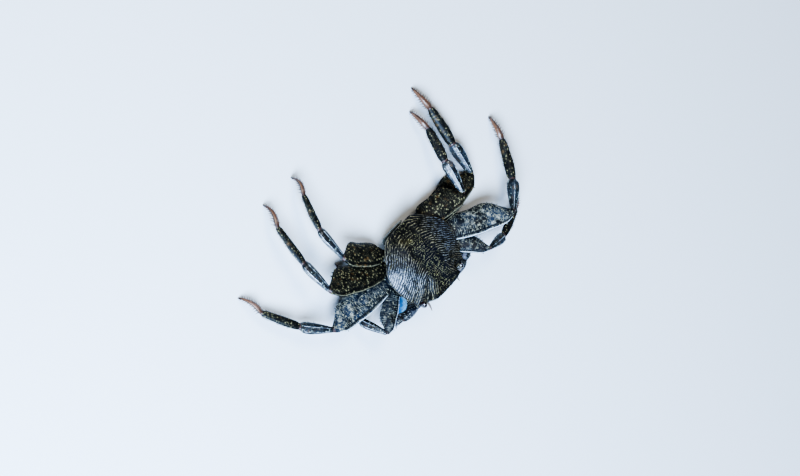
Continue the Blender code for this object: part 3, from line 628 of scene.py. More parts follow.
# The shell: one closed plate with its regions, fine ridges, lobes and beaded rim
shellForm = {
    "outline": [  # half width, ahead of the rear edge, 1 at a sharp corner
        (0.0, 0.0, 0), (0.12, 0.0, 0), (0.21, 0.01, 0), (0.280, 0.055, 0), (0.385, 0.165, 0),
        (0.474, 0.285, 0), (0.500, 0.400, 0), (0.487, 0.520, 0), (0.455, 0.640, 0), (0.443, 0.700, 1),
        (0.420, 0.703, 1), (0.412, 0.745, 0), (0.402, 0.798, 1), (0.365, 0.768, 0), (0.325, 0.752, 0),
        (0.278, 0.772, 0), (0.256, 0.812, 0), (0.246, 0.850, 1), (0.16, 0.876, 0), (0.0, 0.882, 0),
    ],
    "step": 0.0052, "middle": 0.45, "rise": 0.135, "rearDrop": 0.03, "frontDrop": 0.04,
    "rings": ((0.012, 0.935, 92), (0.942, 1.0, 16)),  # from and to a share of the outline, and how many
    "grooves": (  # points along each one, depth, spread
        (((0.085, 0.20), (0.105, 0.33), (0.075, 0.42), (0.135, 0.47)), 0.0050, 0.040),
        (((0.135, 0.47), (0.25, 0.53), (0.335, 0.66), (0.37, 0.72)), 0.0045, 0.038),
        (((0.0, 0.62), (0.0, 0.80)), 0.003, 0.030),
    ),
    "swellings": (  # place, spreads, height
        (0.27, 0.38, 0.15, 0.22, 0.004), (0.13, 0.62, 0.10, 0.14, 0.004)
    ),
    "lineSpacing": 0.0305,
    "lineSlopes": (  # side, slope forward
        (0, 0), (0.10, 0.10), (0.18, 0.62), (0.25, 1.0), (0.34, 0.90), (0.50, 0.72)
    ),
    "lineWander": ((0.0052, 1, 0.42), (0.0021, 2, 0.26), (0.0009, 3, 0.12)), "lineHeight": 0.0038,
    "beadHeight": 0.0032,
    "lobes": (0.062, 0.175),  # how far to the side
    "lobeFront": (0.838, 0.25),  # how far ahead in the middle, and how it falls back to the side
    "lobeSpread": (0.046, 0.026), "lobeHeight": 0.015,
    "pimpleHeight": 0.008, "grainHeight": 0.004, "rimHeight": 0.006,
    "ripples": ((0.0013, 9, 0.5), (0.0006, 10, 0.5)), "rippleDepth": 0.0045,
    "underside": (  # share of the outline, over the rim, paleness
        (0.985, -0.012, 0.4), (0.955, -0.025, 0.85), (0.93, -0.034, 1), (0.87, -0.044, 1),
        (0.80, -0.050, 1), (0.5, -0.050, 1), (0.1, -0.050, 1),
    ),
    "frontUnder": -0.0405, "rearUnder": -0.032,
}


def outlinePoints(corners, step):  # smooth through its points, cornered at the sharp ones
    spots = [np.array(corner[:2]) for corner in corners]
    mirrored = [spots[1] * (-1, 1), *spots, spots[-2] * (-1, 1)]
    half = []
    for i, (start, end) in enumerate(zip(spots, spots[1:])):
        slopeOn = end - start if corners[i][2] else (end - mirrored[i]) / 2
        slopeOff = end - start if corners[i + 1][2] else (mirrored[i + 3] - start) / 2
        pieces = max(1, round(float(np.linalg.norm(end - start)) / step))
        half.append(curve((np.arange(pieces) / pieces)[:, None], start, slopeOn, end, slopeOff))
    half = np.concatenate(half + [spots[-1][None]])
    return np.concatenate((half, (half * (-1, 1))[-2:0:-1]))


def alongFront(edge):  # 1 on the straight front between the eyes, 0 elsewhere
    return ease(0.80, 0.85, edge[:, 1]) * ease(0.30, 0.24, np.abs(edge[:, 0]))


def shellHeight(share, edge):  # the same crown as the frame's shell
    form = shellForm
    wide = ease(0.56, 0.88, edge[:, 1]) * ease(0.46, 0.14, np.abs(edge[:, 0]))
    toEdge = ease(0.78, 0.94, share)
    front = wide * (1 - toEdge) + alongFront(edge) * toEdge
    rim = -form["rearDrop"] * ease(0.30, 0.0, edge[:, 1]) * share**2
    sides = form["rise"] * (1 - share**2.5) + rim
    bent = ease(0.955, 1.0, share)
    ahead = form["rise"] * (1 - 0.44 * share**3) * (1 - bent) - form["frontDrop"] * bent
    return sides * (1 - front) + ahead * front


def nearLine(x, y, points):  # distance to a line through points
    best = np.full(np.shape(x), np.inf)
    for a, b in zip(np.array(points), np.array(points[1:])):
        run = b - a
        t = np.clip(((x - a[0]) * run[0] + (y - a[1]) * run[1]) / run.dot(run), 0, 1)
        best = np.minimum(best, np.hypot(x - a[0] - t * run[0], y - a[1] - t * run[1]))
    return best


def regions(side, ahead):  # low swellings and the grooves between them
    form = shellForm
    height = 0.0
    for line, depth, spread in form["grooves"]:
        height = height - depth * bump(nearLine(side, ahead, line), spread)
    for left, front, wide, long, rise in form["swellings"]:
        height = height + rise * bump(side - left, wide) * bump(ahead - front, long)
    return height


def fineRidges(side, ahead, points):  # crests of the lines and of the beads, and where the lines rule
    form = shellForm
    spacing, wander, gaps = form["lineSpacing"], noises(points, form["lineWander"]), noise(points, 0.0030, 4)
    spots, slopes = zip(*form["lineSlopes"])
    fine = np.linspace(0, spots[-1], 200)
    slant = np.cumsum(np.interp(fine, spots, slopes)) * fine[1]
    linePhase = (ahead - np.interp(side, fine, slant)) / spacing + wander
    frontPhase = (0.45 * ahead - 0.9 * side) / (spacing * 0.85) + wander
    toFlank = ease(0.04, 0.17, side + 0.06 * ease(0.30, 0.0, ahead) + 0.04 * gaps)
    toFront = ease(0.58, 0.66, ahead) * ease(0.05, 0.10, side) * ease(0.30, 0.22, side)
    lines = wave(linePhase, 1.9) * (1 - toFront) + wave(frontPhase, 2.0) * toFront
    lines = lines * ease(-0.75, -0.10, gaps + 0.45 * ease(0.10, 0.34, side))
    lines = lines * (0.72 + 0.42 * noise(points, 0.0010, 6))
    stagger = side / (spacing * 0.66) + 0.5 * (np.round(linePhase) % 2) + wander * 0.8
    beads = wave(linePhase, 1.6) * atLeast(0.25, wave(stagger, 1.4)) * ease(-0.8, 0.1, gaps)
    return lines * toFlank, beads * (1 - toFlank), toFlank


def makeShell():
    form = shellForm
    outline = outlinePoints(form["outline"], form["step"])
    middle = np.array((0.0, form["middle"]))
    reach = np.linalg.norm(outline - middle, axis=1)
    wide, long = form["lobeSpread"]
    front, curved = form["lobeFront"]
    lobeSpots = [(spot, front - curved * spot * spot) for spot in form["lobes"]]
    rings, marks = [], []
    for share in np.concatenate([np.linspace(*span) for span in form["rings"]]):
        x, ahead = (middle + (outline - middle) * share).T
        side, points = np.abs(x), place(x, ahead, 0.1)
        lobes = sum(bump(side - spot, wide) * bump(ahead - front, long) for spot, front in lobeSpots)
        lines, beads, ruled = fineRidges(side, ahead, points)
        fade = ease(0.0, 0.014, (1 - share) * reach) * (1 - 0.6 * lobes)
        height = shellHeight(share, outline) + regions(side, ahead) * ease(1.0, 0.93, share)
        height += form["lobeHeight"] * lobes * ease(1.0, 0.95, share)
        height += (lines * form["lineHeight"] + beads * form["beadHeight"]) * fade
        height += form["grainHeight"] * (noise(points, 0.0007, 7) * 0.5 + 0.5) ** 3 * atLeast(0.35, lobes)
        height += form["rimHeight"] * bump(share - 0.990, 0.0085) * ease(0.83, 0.80, outline[:, 1])
        height += form["pimpleHeight"] * grains(points, 0.0010, 8, 1.3) * lobes
        face = ease(0.80, 0.86, outline[:, 1]) * ease(0.93, 0.96, share)
        ahead = ahead + form["rippleDepth"] * noises(place(x, ahead, height), form["ripples"]) * face
        rings.append(place(x, ahead, height))
        crest = np.clip(np.maximum(lines, beads * 0.95) * fade, 0, 1)
        rim = bump(share - 0.995, 0.0048) * ease(0.86, 0.80, outline[:, 1]) * 0.7
        # shine: where the flanks get a glossier coat and a painted sheen, laid where the light falls; the
        # finish raises the coat there and paints the lines brighter and sky-blue
        shine = ease(0.10, 0.34, side + 0.5 * ease(0.45, 0.75, ahead) * ease(0, 0.2, side))
        shine = shine * ease(0.04, 0.24, ahead) * (1 - 0.5 * lobes) * (1 - 0.88 * ease(0.50, 0.70, ahead))
        marks.append(np.stack((crest, rim, ruled - 1, shine), -1))
    front, rear = alongFront(outline), ease(0.30, 0.0, outline[:, 1])
    for share, up, pale in form["underside"]:
        x, ahead = (middle + (outline - middle) * share).T
        low = np.full(len(outline), up)
        if share > 0.93:
            low = low * (1 - front) + (form["frontUnder"] - (0.985 - share) * 0.05) * front
            low = low * (1 - rear) + np.minimum(low, form["rearUnder"]) * rear
        rings.append(place(x, ahead, low))
        marks.append(np.full((len(outline), 4), (0, 0, pale, 0)))
    Sculpture(np.array(rings), np.array(marks)).make("shell", shellFinish(), "shell", "carapace")


makeShell()
print("shell made")

# Limbs: each segment is a closed skin through the same sections as the frame's
legSizes = {  # lengths of arm, wrist, hand and toe; breadth; tilt in degrees; root on the body
    2: {"lengths": (0.63, 0.32, 0.40, 0.27), "breadth": 0.60, "tilt": 14, "root": (0.345, 0.470, -0.188)},
    3: {"lengths": (1.03, 0.38, 0.46, 0.30), "breadth": 0.98, "tilt": 22, "root": (0.325, 0.386, -0.158)},
    4: {"lengths": (0.93, 0.40, 0.47, 0.31), "breadth": 1.06, "tilt": 24, "root": (0.308, 0.262, -0.150)},
    5: {"lengths": (0.67, 0.40, 0.40, 0.28), "breadth": 0.92, "tilt": 22, "root": (0.248, 0.145, -0.140)},
}
legPoses = {  # turns ahead of straight out, in degrees, and heights of knee, wrist joint and ankle
    (-1, 2): ((26, -74, -106, -118), (0.0, -0.180, -0.257)),
    (-1, 3): ((-6, -47, -60, -76), (-0.05, -0.130, -0.195)),
    (-1, 4): ((-23, -89, -96, -116), (0.035, -0.045, -0.125)),
    (-1, 5): ((-35, -91, -110, -122), (0.03, -0.030, -0.105)),
    (1, 2): ((50, 12, -10, -28), (0.05, -0.060, -0.160)),
    (1, 3): ((26, -36, -56, -66), (0.045, -0.070, -0.170)),
    (1, 4): ((1, -88, -84, -88), (-0.210, -0.195, -0.212)),
    (1, 5): ((12, -80, -70, -84), (-0.012, -0.046, -0.150)),
}
legSections = {  # share of length, width, thickness, shift to the front edge, share of the tilt
    "arm": [
        (0.00, 0.090, 0.074, 0.0, 0.0), (0.06, 0.106, 0.078, 0.0, 0.3), (0.11, 0.178, 0.066, 0.0, 0.9),
        (0.17, 0.248, 0.072, -0.004, 1), (0.30, 0.290, 0.084, -0.006, 1), (0.54, 0.312, 0.096, -0.008, 1),
        (0.70, 0.318, 0.090, -0.026, 1), (0.80, 0.276, 0.084, -0.014, 1), (0.90, 0.182, 0.072, 0.009, 1),
        (0.96, 0.112, 0.062, 0.006, 1), (1.00, 0.072, 0.054, 0, 1),
    ],
    "wrist": [
        (0.00, 0.058, 0.046, 0, 1), (0.16, 0.080, 0.060, 0, 1), (0.45, 0.120, 0.076, 0.004, 1),
        (0.78, 0.142, 0.082, 0.006, 1), (0.93, 0.124, 0.074, 0.004, 1), (1.00, 0.084, 0.054, 0, 1),
    ],
    "hand": [
        (0.00, 0.076, 0.048, 0, 1), (0.10, 0.100, 0.060, 0, 1), (0.35, 0.114, 0.064, 0.004, 1),
        (0.68, 0.102, 0.058, 0.002, 1), (0.92, 0.084, 0.052, 0, 1), (1.00, 0.062, 0.042, 0, 1),
    ],
    "toe": [
        (0.00, 0.058, 0.040, 0, 1), (0.12, 0.066, 0.048, 0, 1), (0.35, 0.056, 0.044, 0, 1),
        (0.60, 0.043, 0.036, 0, 1), (0.82, 0.028, 0.025, 0, 1), (1.00, 0.012, 0.012, 0, 1),
    ],
}
legMesh = {  # rows and columns of each segment's skin, and how far its ends round off
    "arm": (190, 132, 0.035), "wrist": (110, 84, 0.05), "hand": (110, 72, 0.04), "toe": (90, 48, 0.03),
}
toeForm = {
    "arch": 0.05, "spineAngles": (0.25, 1.35, 2.9, -0.8, -2.3), "spineShares": (0.16, 0.86, 9),
    "spineLengths": (0.0021, 0.0011),  # at the root, and how much shorter at the tip
    "spineRadius": 0.00026,
}
bristleForm = {  # count, from and to a share of the length, and angles of the rows
    "hand": (46, 0.30, 0.97, (0.05, 3.10, -0.5)), "toe": (26, 0.06, 0.66, (0.0, 3.14, 1.57, -1.57)),
    "wrist": (12, 0.5, 0.95, (3.05,)), "arm": (26, 0.30, 0.92, (3.30,)),
}
floorGap = 0.0002  # spines and bristles stay this far over the floor
cupRings = ((0.84, 0.0), (0.74, 0.0005), (0.4, 0.0010))  # size and depth of the rings that close an end


def chain(side, root, lengths, turns, heights):
    joints = [place(side * root[0], root[1], root[2])]
    for length, turn, height in zip(lengths, turns, heights):
        drop = (crab["rimHeight"] + height) * width - joints[-1][2]
        run = sqrt((length * width) ** 2 - drop**2)
        way = np.array((side * cos(radians(turn)), -sin(radians(turn)), 0))
        joints.append(joints[-1] + way * run + np.array((0, 0, drop)))
    return joints


def legJoints(side, pair):
    size, (turns, heights) = legSizes[pair], legPoses[(side, pair)]
    return chain(side, size["root"], size["lengths"], turns, (*heights, -crab["rimHeight"]))


def frameOf(along, side, tilt):  # across to the front edge, and over, for one or many tilts in degrees
    up = unit(np.array((0, 0, 1.0)) - along * along[2])
    ahead = np.cross(along, up) * side
    turn = np.radians(np.atleast_1d(tilt))[:, None]
    return ahead * np.cos(turn) + up * np.sin(turn), up * np.cos(turn) - ahead * np.sin(turn)


def crossOf(along, side, tilt=0):  # the same, for one tilt
    return [way[0] for way in frameOf(along, side, tilt)]


def segment(start, end, sections, side, tilts, scale, mesh, relief, arch=0.0, cup=True):
    rows, columns, rounding = mesh
    along, length = unit(end - start), np.linalg.norm(end - start)
    shares = np.linspace(0, 1, rows - 6)
    finer = shares[1] * np.linspace(0, 1, 7)[1:-1] ** 1.5
    shares = np.sort(np.concatenate((shares, finer)))
    wide, thick, shift, tiltShare = smoothRows(sections, shares).T
    across, over = frameOf(along, side, tilts[0] + (tilts[1] - tilts[0]) * tiltShare)
    closing = rounded(shares, rounding, 0.02)
    if cup:
        closing = closing * (1 + 0.05 * ease(0.955, 0.985, shares) - 0.06 * ease(0.990, 1.0, shares))
    else:
        closing = closing * rounded(1 - shares, rounding, 0.02)
    angles, c, s = circle(columns, -tau / 4)
    middle = start + along * (length * shares)[:, None] + across * (shift * scale * width)[:, None]
    middle = middle + over * (arch * width * 4 * shares * (1 - shares))[:, None]
    halfWide, halfThick = (size[:, None] * scale * width / 2 * closing[:, None] for size in (wide, thick))
    across, over, middle = across[:, None], over[:, None], middle[:, None]
    rings = middle + across * (halfWide * c)[..., None] + over * (halfThick * lensed(s))[..., None]
    outward = unit(across * (halfThick * c)[..., None] + over * (halfWide * s)[..., None] + 1e-9)
    height, crest, edge = relief(shares[:, None], angles, rings, length)
    rings = rings + outward * (height * closing[:, None])[..., None]
    marks = marksFor(rings, np.clip(crest, 0, 1), np.clip(edge, -1, 1), shares[:, None], 1)
    if cup:
        last, hub = rings[-1], rings[-1].mean(axis=0)
        inside = [hub + (last - hub) * size - along * depth for size, depth in cupRings]
        rings = np.concatenate((rings, inside))
        marks = np.concatenate((marks, np.repeat(marks[-1:] * (0, 0, 1, 1), len(cupRings), axis=0)))
    return rings, marks


def turnTo(angles, target):  # angle from a direction round the section, wrapped
    return (angles - target + tau / 2) % tau - tau / 2


armForm = {
    "lineSpacing": 0.00125, "lineWander": ((0.0035, 0, 0.55), (0.0013, 1, 0.22)), "lineHeight": 0.00010,
    "frontEdge": (0.34, 0.115),  # angle and spread
    "hollow": (0.68, 0.13), "rearEdges": ((tau / 2 - 0.10, 0.06, 1.0), (tau / 2 + 0.22, 0.06, 0.6)),
    "edgeHeight": 0.00026, "hollowDepth": 0.00012,
    "endBand": (0.955, 0.012),  # share of the length and spread
    "bandHeight": 0.00012, "rootRing": (0.130, 0.011), "rootDepth": 0.00045, "grainHeight": 0.000018,
    "teeth": ((0.865, 0.10), (0.745, 3.10), (0.795, 3.10), (0.842, 3.10)),  # share of the length, angle
    "toothSize": (0.0009, 0.0007, 0.0013, 0.0006),  # sunk, out, along, radius
}


def bumpAt(angles, spot, spread):  # a ridge along a section's skin
    return bump(turnTo(angles, spot), spread)


def ridgesAt(angles, ridges):  # lengthwise ridges, by angle, spread and strength
    return sum(bumpAt(angles, spot, spread) * strength for spot, spread, strength in ridges)


def armRelief(seed):
    form = armForm

    def relief(share, angle, points, length):
        upper, window = ease(-0.15, 0.35, np.sin(angle)), ease(0.15, 0.28, share) * ease(0.985, 0.93, share)
        wander = noises(points, form["lineWander"], seed)
        crest = wave(share * length / form["lineSpacing"] + wander + 1.1 * np.cos(angle), 2.2)
        crest = crest * ease(-0.35, 0.25, noise(points, 0.0024, seed + 2)) * ease(0.14, 0.24, share)
        crest = crest * ease(0.97, 0.90, share) * atLeast(0.25, upper)
        spot, spread = form["frontEdge"]
        front = bumpAt(angle, spot + 0.05 * noise(points, 0.0030, seed + 5), spread) * window
        hollow = bumpAt(angle, *form["hollow"]) * window
        rear = ridgesAt(angle, form["rearEdges"]) * window
        (bandAt, bandWide), (ringAt, ringWide) = form["endBand"], form["rootRing"]
        band, ring = bump(share - bandAt, bandWide) * upper, bump(share - ringAt, ringWide)
        height = crest * form["lineHeight"] + (front + rear) * form["edgeHeight"] + band * form["bandHeight"]
        height = height - ring * form["rootDepth"] - hollow * form["hollowDepth"]
        height = height + noise(points, 0.0007, seed + 3) * form["grainHeight"]
        return height, crest, np.maximum(front * 0.95, rear * 0.45) + band * 0.5 - hollow * 0.6

    return relief


ridgeForm = {  # ridges by angle, spread and strength; their height; spacing and height of the lines
    "wrist": (((0.55, 0.090, 1.0), (1.50, 0.080, 0.95), (2.45, 0.065, 0.5)), 0.00032, 0.0013, 0.00006),
    "hand": (
        ((0.0, 0.07, 0.5), (0.80, 0.07, 0.75), (2.20, 0.07, 0.55), (3.14, 0.07, 0.5)),
        0.00022, 0.0012, 0.00006
    ),
    "toe": (
        ((0.45, 0.16, 0.9), (1.57, 0.16, 0.8), (2.70, 0.16, 0.9), (-0.9, 0.16, 0.7), (-2.2, 0.16, 0.7)),
        0.00020, 0.0015, 0.00002
    ),
}


def ridgedRelief(seed, ridges, ridgeHeight, spacing, lineHeight):
    def relief(share, angle, points, length):
        window = ease(0.05, 0.14, share) * ease(0.985, 0.90, share)
        lines = ridgesAt(angle, ridges) * window
        lines = lines * (0.82 + 0.30 * noise(points, 0.0013, seed + 6))
        wander = noise(points, 0.0026, seed) * 0.5
        crest = wave(share * length / spacing + wander + 0.8 * np.cos(angle), 2.4)
        crest = crest * ease(-0.3, 0.3, noise(points, 0.0020, seed + 2))
        crest = crest * ease(-0.1, 0.3, np.sin(angle)) * window
        height = lines * ridgeHeight * (0.85 + 0.3 * noise(points, 0.0018, seed + 4)) + crest * lineHeight
        height = height + noise(points, 0.0006, seed + 3) * 0.000014
        return height, np.maximum(lines, crest * 0.35), bumpAt(angle, 0.0, 0.10) * window

    return relief


def edgeSpots(rings, rows, angle):  # places and outward ways along one edge of a skin
    column = int(round((angle + tau / 4) / tau * rings.shape[1])) % rings.shape[1]
    spots = rings[rows, column]
    return spots, unit(spots - rings[rows].mean(axis=1))


def overFloor(tips):
    tips[:, 2] = np.maximum(tips[:, 2], floorGap)
    return tips


def addTeeth(shape, rings, rows, teeth, along):
    sunk, out, ahead, radius = armForm["toothSize"]
    for share, angle in teeth:
        spots, outward = edgeSpots(rings, [int(share * (rows - 1))], angle)
        shape.spikes(
            spots - outward * sunk, spots + outward * out + along * ahead, radius, 8, 0.12, (0, 0.5, 0.9, 1)
        )


def addSpines(shape, rings, rows, scale, along, chance):
    form = toeForm
    shares = np.linspace(*form["spineShares"])
    longest, shorter = form["spineLengths"]
    for angle in form["spineAngles"]:
        picks = (np.clip(shares + chance.uniform(-0.02, 0.02, len(shares)), 0, 0.9) * (rows - 1)).astype(int)
        spots, outward = edgeSpots(rings, picks, angle)
        reach = (longest - shorter * shares) * scale * chance.uniform(0.8, 1.15, len(shares))
        tips = overFloor(spots + (outward + along * 0.8) * reach[:, None])
        shape.spikes(spots - outward * 0.0004, tips, form["spineRadius"], 6, 0.1, (0, 1, 0.9, 1))


def addBristles(bristles, rings, count, low, high, angles, chance):
    along = unit(rings[-1].mean(axis=0) - rings[0].mean(axis=0))
    for angle in angles:
        picks = (chance.uniform(low, high, count) * (len(rings) - 1)).astype(int)
        spots, outward = edgeSpots(rings, picks, angle)
        reach = chance.uniform(0.0007, 0.0016, count)[:, None]
        lean = chance.normal(0, 0.25, (count, 3))
        tips = overFloor(spots + unit(outward + along * 0.9 + lean) * reach)
        bristles.spikes(spots - outward * 0.0001, tips, 0.00006, 3, 0.15, steps=3)


def makeLeg(side, pair, skins, bristles):
    size, joints, sideName = legSizes[pair], legJoints(side, pair), sideNames[side]
    seed = pair * 10 + (side > 0) * 5
    chance = np.random.default_rng(seed)
    made = {}
    for i, (part, mesh) in enumerate(legMesh.items()):
        isArm, isToe = part == "arm", part == "toe"
        scale = size["breadth"] if isArm else 1 + (size["breadth"] - 1) * 0.5
        tilts = (crab["rootTilt"] if isArm else size["tilt"], size["tilt"])
        relief = armRelief(seed) if isArm else ridgedRelief(seed + i, *ridgeForm[part])
        arch = toeForm["arch"] if isToe else 0.0
        rings, marks = segment(
            joints[i], joints[i + 1], legSections[part], side, tilts, scale, mesh, relief, arch, not isToe
        )
        if isToe:
            rings[..., 2] = np.maximum(rings[..., 2], 0.0)
        made[part] = rings
        shape, along = Sculpture(rings, marks), unit(joints[i + 1] - joints[i])
        if isArm:
            addTeeth(shape, rings, mesh[0], armForm["teeth"][: 1 if pair == 5 else 4], along)
        if isToe:
            addSpines(shape, rings, mesh[0], scale, along, chance)
        shade = armShades[pair] if isArm else legShades[part]
        name, node = f"leg{sideName.capitalize()}{pair}{part.capitalize()}", f"leg_{sideName}_{pair}_{part}"
        shape.make(name, shade, "toe" if isToe else "limb", node)
    parts = list(made.values())
    for before, after in zip(parts, parts[1:]):
        jointSkin(skins, before, after)
    for part, (count, low, high, angles) in bristleForm.items():
        addBristles(bristles, made[part], count, low, high, angles, chance)


jointForm = {"from": 0.962, "to": 0.10, "columns": 40, "rings": 22, "wrinkles": 5, "size": (0.908, 0.044)}


def jointSkin(skins, before, after):  # a wrinkled sleeve from one segment's end to the next one's root
    form = jointForm
    columns, (least, swell) = form["columns"], form["size"]
    ringBack, ringOn = before[int(len(before) * form["from"])], after[max(2, int(len(after) * form["to"]))]
    spots = np.arange(columns) / columns
    ringBack, ringOn = (ring[(spots * len(ring)).astype(int)] for ring in (ringBack, ringOn))
    centreBack, centreOn = ringBack.mean(axis=0), ringOn.mean(axis=0)
    joint = (before[-1].mean(axis=0) + after[0].mean(axis=0)) / 2
    t = np.linspace(0, 1, form["rings"])[:, None, None]
    wrinkle = wave(t * form["wrinkles"])
    centre = centreBack * (1 - t) ** 2 + 2 * joint * t * (1 - t) + centreOn * t**2
    spread = (ringBack - centreBack) * (1 - t) + (ringOn - centreOn) * t
    rings = centre + spread * (least + swell * wrinkle)
    skins.skin(rings, marksFor(rings, wrinkle[..., 0], sheen=1))


# Claws: arm, wrist and palm with its fixed finger, and the moving finger
clawForm = {
    "root": (0.252, 0.662, -0.152), "lengths": (0.38, 0.15, 0.21),
    "poses": {-1: ((8, 125, 178), (-0.190, -0.198, -0.205)), 1: ((18, 124, 178), (-0.192, -0.198, -0.205))},
    "arm": [
        (0.00, 0.094, 0.080, 0.0, 0.0), (0.22, 0.112, 0.088, 0.0, 0.3), (0.52, 0.168, 0.096, 0.0, 0.8),
        (0.78, 0.142, 0.088, -0.026, 1), (0.91, 0.086, 0.068, -0.026, 1), (1.00, 0.042, 0.046, 0, 1),
    ],
    "wrist": [
        (0.00, 0.042, 0.044, 0, 1), (0.28, 0.080, 0.088, -0.020, 1), (0.58, 0.120, 0.104, -0.020, 1),
        (0.82, 0.098, 0.088, -0.010, 1), (1.00, 0.050, 0.048, 0, 1),
    ],
    "palm": [
        (0.00, 0.050, 0.052, 0, 1), (0.22, 0.092, 0.108, 0, 1), (0.50, 0.108, 0.150, 0, 1),
        (0.82, 0.104, 0.156, 0, 1), (1.00, 0.088, 0.138, 0, 1),
    ],
    "finger": [
        (0.0, 0.060, 0.054), (0.3, 0.056, 0.050), (0.6, 0.048, 0.040),
        (0.85, 0.042, 0.028), (1.0, 0.030, 0.014)
    ],
    "tilts": {"arm": (crab["rootTilt"], 15), "wrist": (15, 15), "palm": (0, 0)},
    "mesh": (110, 96, 0.10), "fingerMesh": (70, 40), "reach": 0.155, "bow": 0.045,
    "fixedRoot": 0.036,  # how far the fingers' roots lie below and over the palm's end
    "movingRoot": 0.038, "sunk": 0.05,
    "wristSpine": (0.62, 0.002, 0.0062, 0.0015, 0.0012),  # share of the length, root, tip, lean, radius
    "lineSpacing": 0.0012, "lineHeight": 0.00007, "ridgeHeight": 0.00012, "toothHeight": 0.00032,
}


def palmRelief(seed):
    form = clawForm

    def relief(share, angle, points, length):
        upper = ease(0.0, 0.5, np.sin(angle))
        phase = share * length / form["lineSpacing"] + noise(points, 0.0024, seed) * 0.7 + 0.9 * np.sin(angle)
        crest = wave(phase, 2.6) * ease(-0.2, 0.3, noise(points, 0.002, seed + 2)) * atLeast(0.2, upper)
        crest = crest * ease(0.06, 0.2, share) * ease(0.98, 0.85, share)
        ridge = bumpAt(angle, -0.55, 0.10) * ease(0.1, 0.3, share)
        grain = grains(points, 0.0010, seed + 5, 2) * upper
        height = crest * form["lineHeight"] + (ridge + grain) * form["ridgeHeight"]
        return height, crest * 0.8 + grain * 0.5, ridge * 0.5

    return relief


def fingerRings(root, along, over, across, bow, reach):
    rows, columns = clawForm["fingerMesh"]
    shares = np.linspace(0, 1, rows)[:, None]
    wide, thick = smoothRows(clawForm["finger"], shares[:, 0]).T
    swing = bow * (2 * shares * (1 - shares) - shares * 0.62)
    closing = rounded(np.minimum(shares / 0.06, (1 - shares) / 0.10), 1, 0.03)
    _, c, s = circle(columns)
    towards = -np.sign(bow)  # the biting side
    spoon = ease(0.72, 0.90, shares) * ease(0.3, 0.9, s * towards) * 0.45
    teeth = wave(shares * 5.5, 3) * ease(0.75, 0.98, s * towards)
    teeth = teeth * ease(0.12, 0.2, shares) * ease(0.78, 0.66, shares)
    lift = s * thick[:, None] * closing * width / 2 * (1 - spoon) + teeth * towards * clawForm["toothHeight"]
    rings = (root + (along * reach * shares + over * swing) * width)[:, None]
    rings = rings + across * (c * wide[:, None] * closing * width / 2)[..., None] + over * lift[..., None]
    return rings, marksFor(rings, 0, teeth, shares, 1)


def clawJoints(side):
    return chain(side, clawForm["root"], clawForm["lengths"], *clawForm["poses"][side])


def makeClaw(side, skins):
    form, joints = clawForm, clawJoints(side)
    name, node = f"claw{sideNames[side].capitalize()}", f"claw_{sideNames[side]}"
    made, shapes = {}, {}
    for i, part in enumerate(("arm", "wrist", "palm")):
        made[part], marks = segment(
            joints[i], joints[i + 1], form[part], side, form["tilts"][part], 1.0, form["mesh"],
            palmRelief(200 + side + 10 * i)
        )
        shapes[part] = Sculpture(made[part], marks)
    shapes["arm"].make(name + "Arm", armShades[2], "limb", node + "_arm")
    along = unit(joints[2] - joints[1])
    inward = -crossOf(along, side, form["tilts"]["wrist"][0])[0]
    share, root, tip, lean, radius = form["wristSpine"]
    spot = (joints[1] * (1 - share) + joints[2] * share)[None]
    tip = spot + inward * tip + along * lean
    shapes["wrist"].spikes(spot + inward * root, tip, radius, 16, 0.2, (0.2, 0.6, 0, 1), 10)
    shapes["wrist"].make(name + "Wrist", clawShade, "claw", node + "_wrist")
    shapes["palm"].make(name + "Palm", clawShade, "claw", node + "_palm")
    along = unit(joints[3] - joints[2])
    across, over = crossOf(along, side)
    bow, reach = form["bow"], form["reach"]
    lowRoot = joints[3] - (over * form["fixedRoot"] + along * form["sunk"]) * width
    highRoot = joints[3] + over * form["movingRoot"] * width + along * crab["gap"] / 2
    fixed = fingerRings(lowRoot, along, over, across, -bow, reach + form["sunk"])
    Sculpture(*fixed).make(name + "FixedFinger", clawTipShade, "claw")
    moving = fingerRings(highRoot, along, over, across, bow, reach)
    Sculpture(*moving).make(name + "Finger", clawTipShade, "claw", node + "_finger")
    jointSkin(skins, made["arm"], made["wrist"])
    jointSkin(skins, made["wrist"], made["palm"])
    makeLens(name, side, joints, made["arm"])


lensForm = {
    "share": 0.585, "ahead": 0.002, "half": (0.104, 0.064), "turn": 38, "dome": 0.0005, "sunk": 0.00012,
    "mesh": (26, 72),
}


def makeLens(name, side, joints, rings):  # the smooth blue oval on the outer part of the claw's arm
    form = lensForm
    tree = BVHTree.FromPolygons(rings.reshape(-1, 3).tolist(), gridFaces(*rings.shape[:2]).tolist())
    rows, columns = form["mesh"]
    reach, (_, c, s) = np.linspace(0.02, 1, rows), circle(columns)
    long, broad = (np.outer(reach, way) * half for way, half in zip((c, s), form["half"]))
    c, s = cos(radians(form["turn"])), sin(radians(form["turn"]))
    along = unit((joints[1] - joints[0]) * (1, 1, 0))
    forward = crossOf(along, side)[0]
    middle = joints[0] + (joints[1] - joints[0]) * form["share"] + forward * form["ahead"] * width
    spots = middle + along * ((long * c - broad * s) * width)[..., None]
    spots = spots + forward * ((long * s + broad * c) * width)[..., None] + (0, 0, 0.02)
    last = spots[0, 0].copy()
    for spot in spots.reshape(-1, 3):
        hit = tree.ray_cast(Vector(spot), Vector((0, 0, -1)))[0]
        spot[:] = last if hit is None else hit
        last = spot.copy()
    spots[..., 2] += form["dome"] * np.sqrt(1 - reach**2)[:, None] - form["sunk"]
    # lower: the side of the oval that the finish paints brighter, a painted highlight
    lower = ease(-0.5, 0.6, broad / form["half"][1])
    marks = marksFor(spots, lower, bump(reach - 0.93, 0.07)[:, None])
    lens = Sculpture()
    lens.skin(spots[::-1], marks[::-1], (False, True))
    lens.make(name + "Lens", lensShade, "claw")


